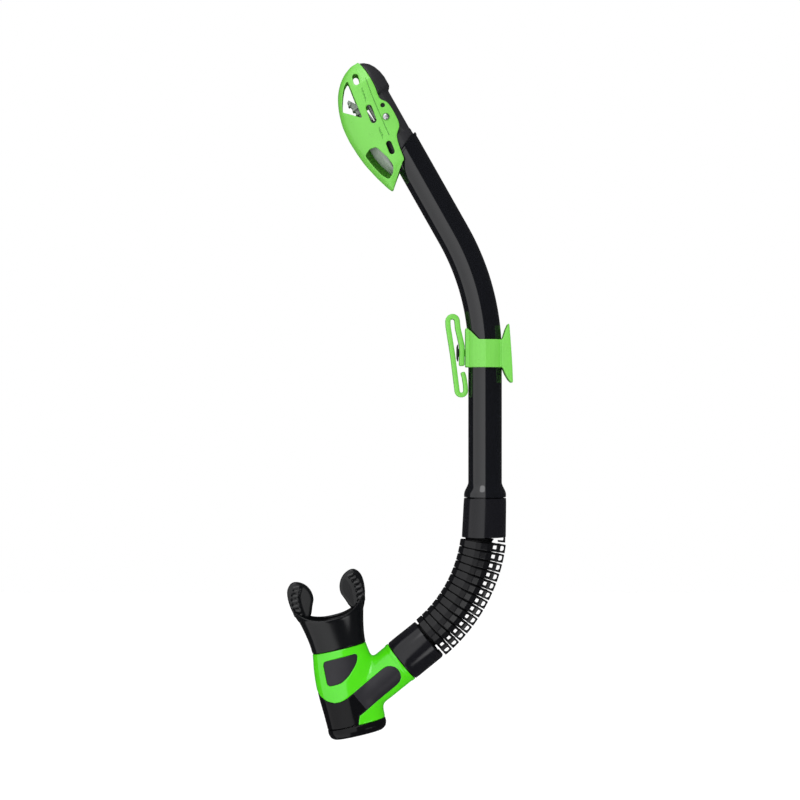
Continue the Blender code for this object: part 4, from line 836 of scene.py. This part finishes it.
# %% Screws
SHANK_R = 0.0011
HEAD_R = 0.0020
screw_profile = [(0.00001, 0.0072), (SHANK_R, 0.0072), (SHANK_R, 0.0125), (HEAD_R, 0.0125), (HEAD_R, 0.0129),
                 (0.0012, 0.0134), (0.00001, 0.0135)]
for name, side in (("shell_screw_front", -1.0), ("shell_screw_back", 1.0)):
    screw = lathe(name + "_fine", screw_profile, 0.00015, 32)
    for long, short in ((0.0011, 0.00025), (0.00025, 0.0011)):
        recess = [(-long, -short), (long, -short), (long, short), (-long, short)]
        cutter = moved(slab("recess", recess, -0.0145, -0.0130), Matrix.Rotation(math.radians(-90.0), 4, "X"))
        with_other(screw, cutter, "DIFFERENCE")
    outward = Matrix.Rotation(math.radians(-90.0 * side), 4, "X")
    moved(screw, Matrix.Translation((SCREW[0], 0.0, SCREW[1])) @ outward)
    moved(screw, dry_top)
    smooth(screw, 30.0)
    settle(screw, "barrel", "steel", bright_steel, name)

# %% [markdown]
# ## Studio
# A long-lens camera looks square at the side of the snorkel. The floor is pale, far below. Light comes evenly from
# all round, and one tall soft panel stands on the left, from beside the camera to square on: it draws the long
# bright band down the left half of each polished tube.

# %% Camera and floor
pick()
bpy.ops.object.camera_add(location=(-0.03615, -1.35, -0.03055), rotation=(math.radians(90.0), 0.0, 0.0))
camera = bpy.context.object
camera.data.lens = 93.5
bpy.context.scene.camera = camera
pick()
bpy.ops.mesh.primitive_grid_add(x_subdivisions=4, y_subdivisions=4, size=8.0, location=(0.0, 1.0, -0.62))
floor = bpy.context.object
floor.name = "floor"
floor.visible_glossy = False
floor.data.materials.append(moulding("floor_paint", (0.95, 0.95, 0.95), 0.9, cloud=0.01, depth=0.0))

# %% World light
world = bpy.data.worlds.new("studio")
bpy.context.scene.world = world
world.use_nodes = True
sky = world.node_tree
sky.nodes.clear()
view = sky.nodes.new("ShaderNodeTexCoord")
parts = sky.nodes.new("ShaderNodeSeparateXYZ")
sky.links.new(view.outputs["Generated"], parts.inputs[0])


def ramp(source, low, high, bottom, top):
    """A smooth step on one direction of the room."""
    step = sky.nodes.new("ShaderNodeMapRange")
    step.interpolation_type = "SMOOTHSTEP"
    for name, value in (("From Min", low), ("From Max", high), ("To Min", bottom), ("To Max", top)):
        step.inputs[name].default_value = value
    sky.links.new(source, step.inputs["Value"])
    return step.outputs["Result"]


def maths(kind, first, second):
    """One sum or product of two values."""
    node = sky.nodes.new("ShaderNodeMath")
    node.operation = kind
    for socket, value in zip(node.inputs, (first, second)):
        if isinstance(value, float):
            socket.default_value = value
        else:
            sky.links.new(value, socket)
    return node.outputs[0]


def glint(towards, tight, wide, strength):
    """A small soft lamp in one direction of the room."""
    aim = Vector(towards).normalized()
    near = maths("MULTIPLY", parts.outputs["X"], aim.x)
    near = maths("ADD", near, maths("MULTIPLY", parts.outputs["Y"], aim.y))
    near = maths("ADD", near, maths("MULTIPLY", parts.outputs["Z"], aim.z))
    return ramp(near, math.cos(math.radians(wide)), math.cos(math.radians(tight)), 0.0, strength)


left = ramp(parts.outputs["X"], -0.04, 0.03, 1.0, 0.0)
front = ramp(parts.outputs["Y"], -0.03, 0.10, 1.0, 0.0)
side_fall = ramp(parts.outputs["X"], -1.0, -0.2, 0.75, 1.0)
panel = maths("MULTIPLY", maths("MULTIPLY", maths("MULTIPLY", left, front), side_fall), 1.45)
glossy_light = maths("ADD", panel, 0.05)
high_left = glint((-0.25, -0.60, 0.75), 9.0, 15.0, 3.0)
low_right = glint((0.55, -0.70, -0.45), 8.0, 14.0, 2.5)
for lamp in (high_left, low_right):
    glossy_light = maths("ADD", glossy_light, lamp)
facing = ramp(parts.outputs["Y"], -0.90, 0.30, 1.0, 0.0)
above = ramp(parts.outputs["Z"], 0.25, 1.0, 0.0, 1.0)
fill = maths("ADD", maths("ADD", maths("MULTIPLY", facing, 0.85), maths("MULTIPLY", above, 0.95)), 0.36)
rays = sky.nodes.new("ShaderNodeLightPath")
inverse = maths("SUBTRACT", 1.0, rays.outputs["Is Glossy Ray"])
soft_part = maths("MULTIPLY", fill, inverse)
gloss_part = maths("MULTIPLY", glossy_light, rays.outputs["Is Glossy Ray"])
both = maths("ADD", soft_part, gloss_part)
seen = maths("MAXIMUM", both, rays.outputs["Is Camera Ray"])
light = sky.nodes.new("ShaderNodeBackground")
light.inputs["Color"].default_value = (1.0, 1.0, 1.0, 1.0)
sky.links.new(seen, light.inputs["Strength"])
last = sky.nodes.new("ShaderNodeOutputWorld")
sky.links.new(light.outputs[0], last.inputs["Surface"])
bpy.context.scene.view_settings.view_transform = "Standard"
print("studio ready")
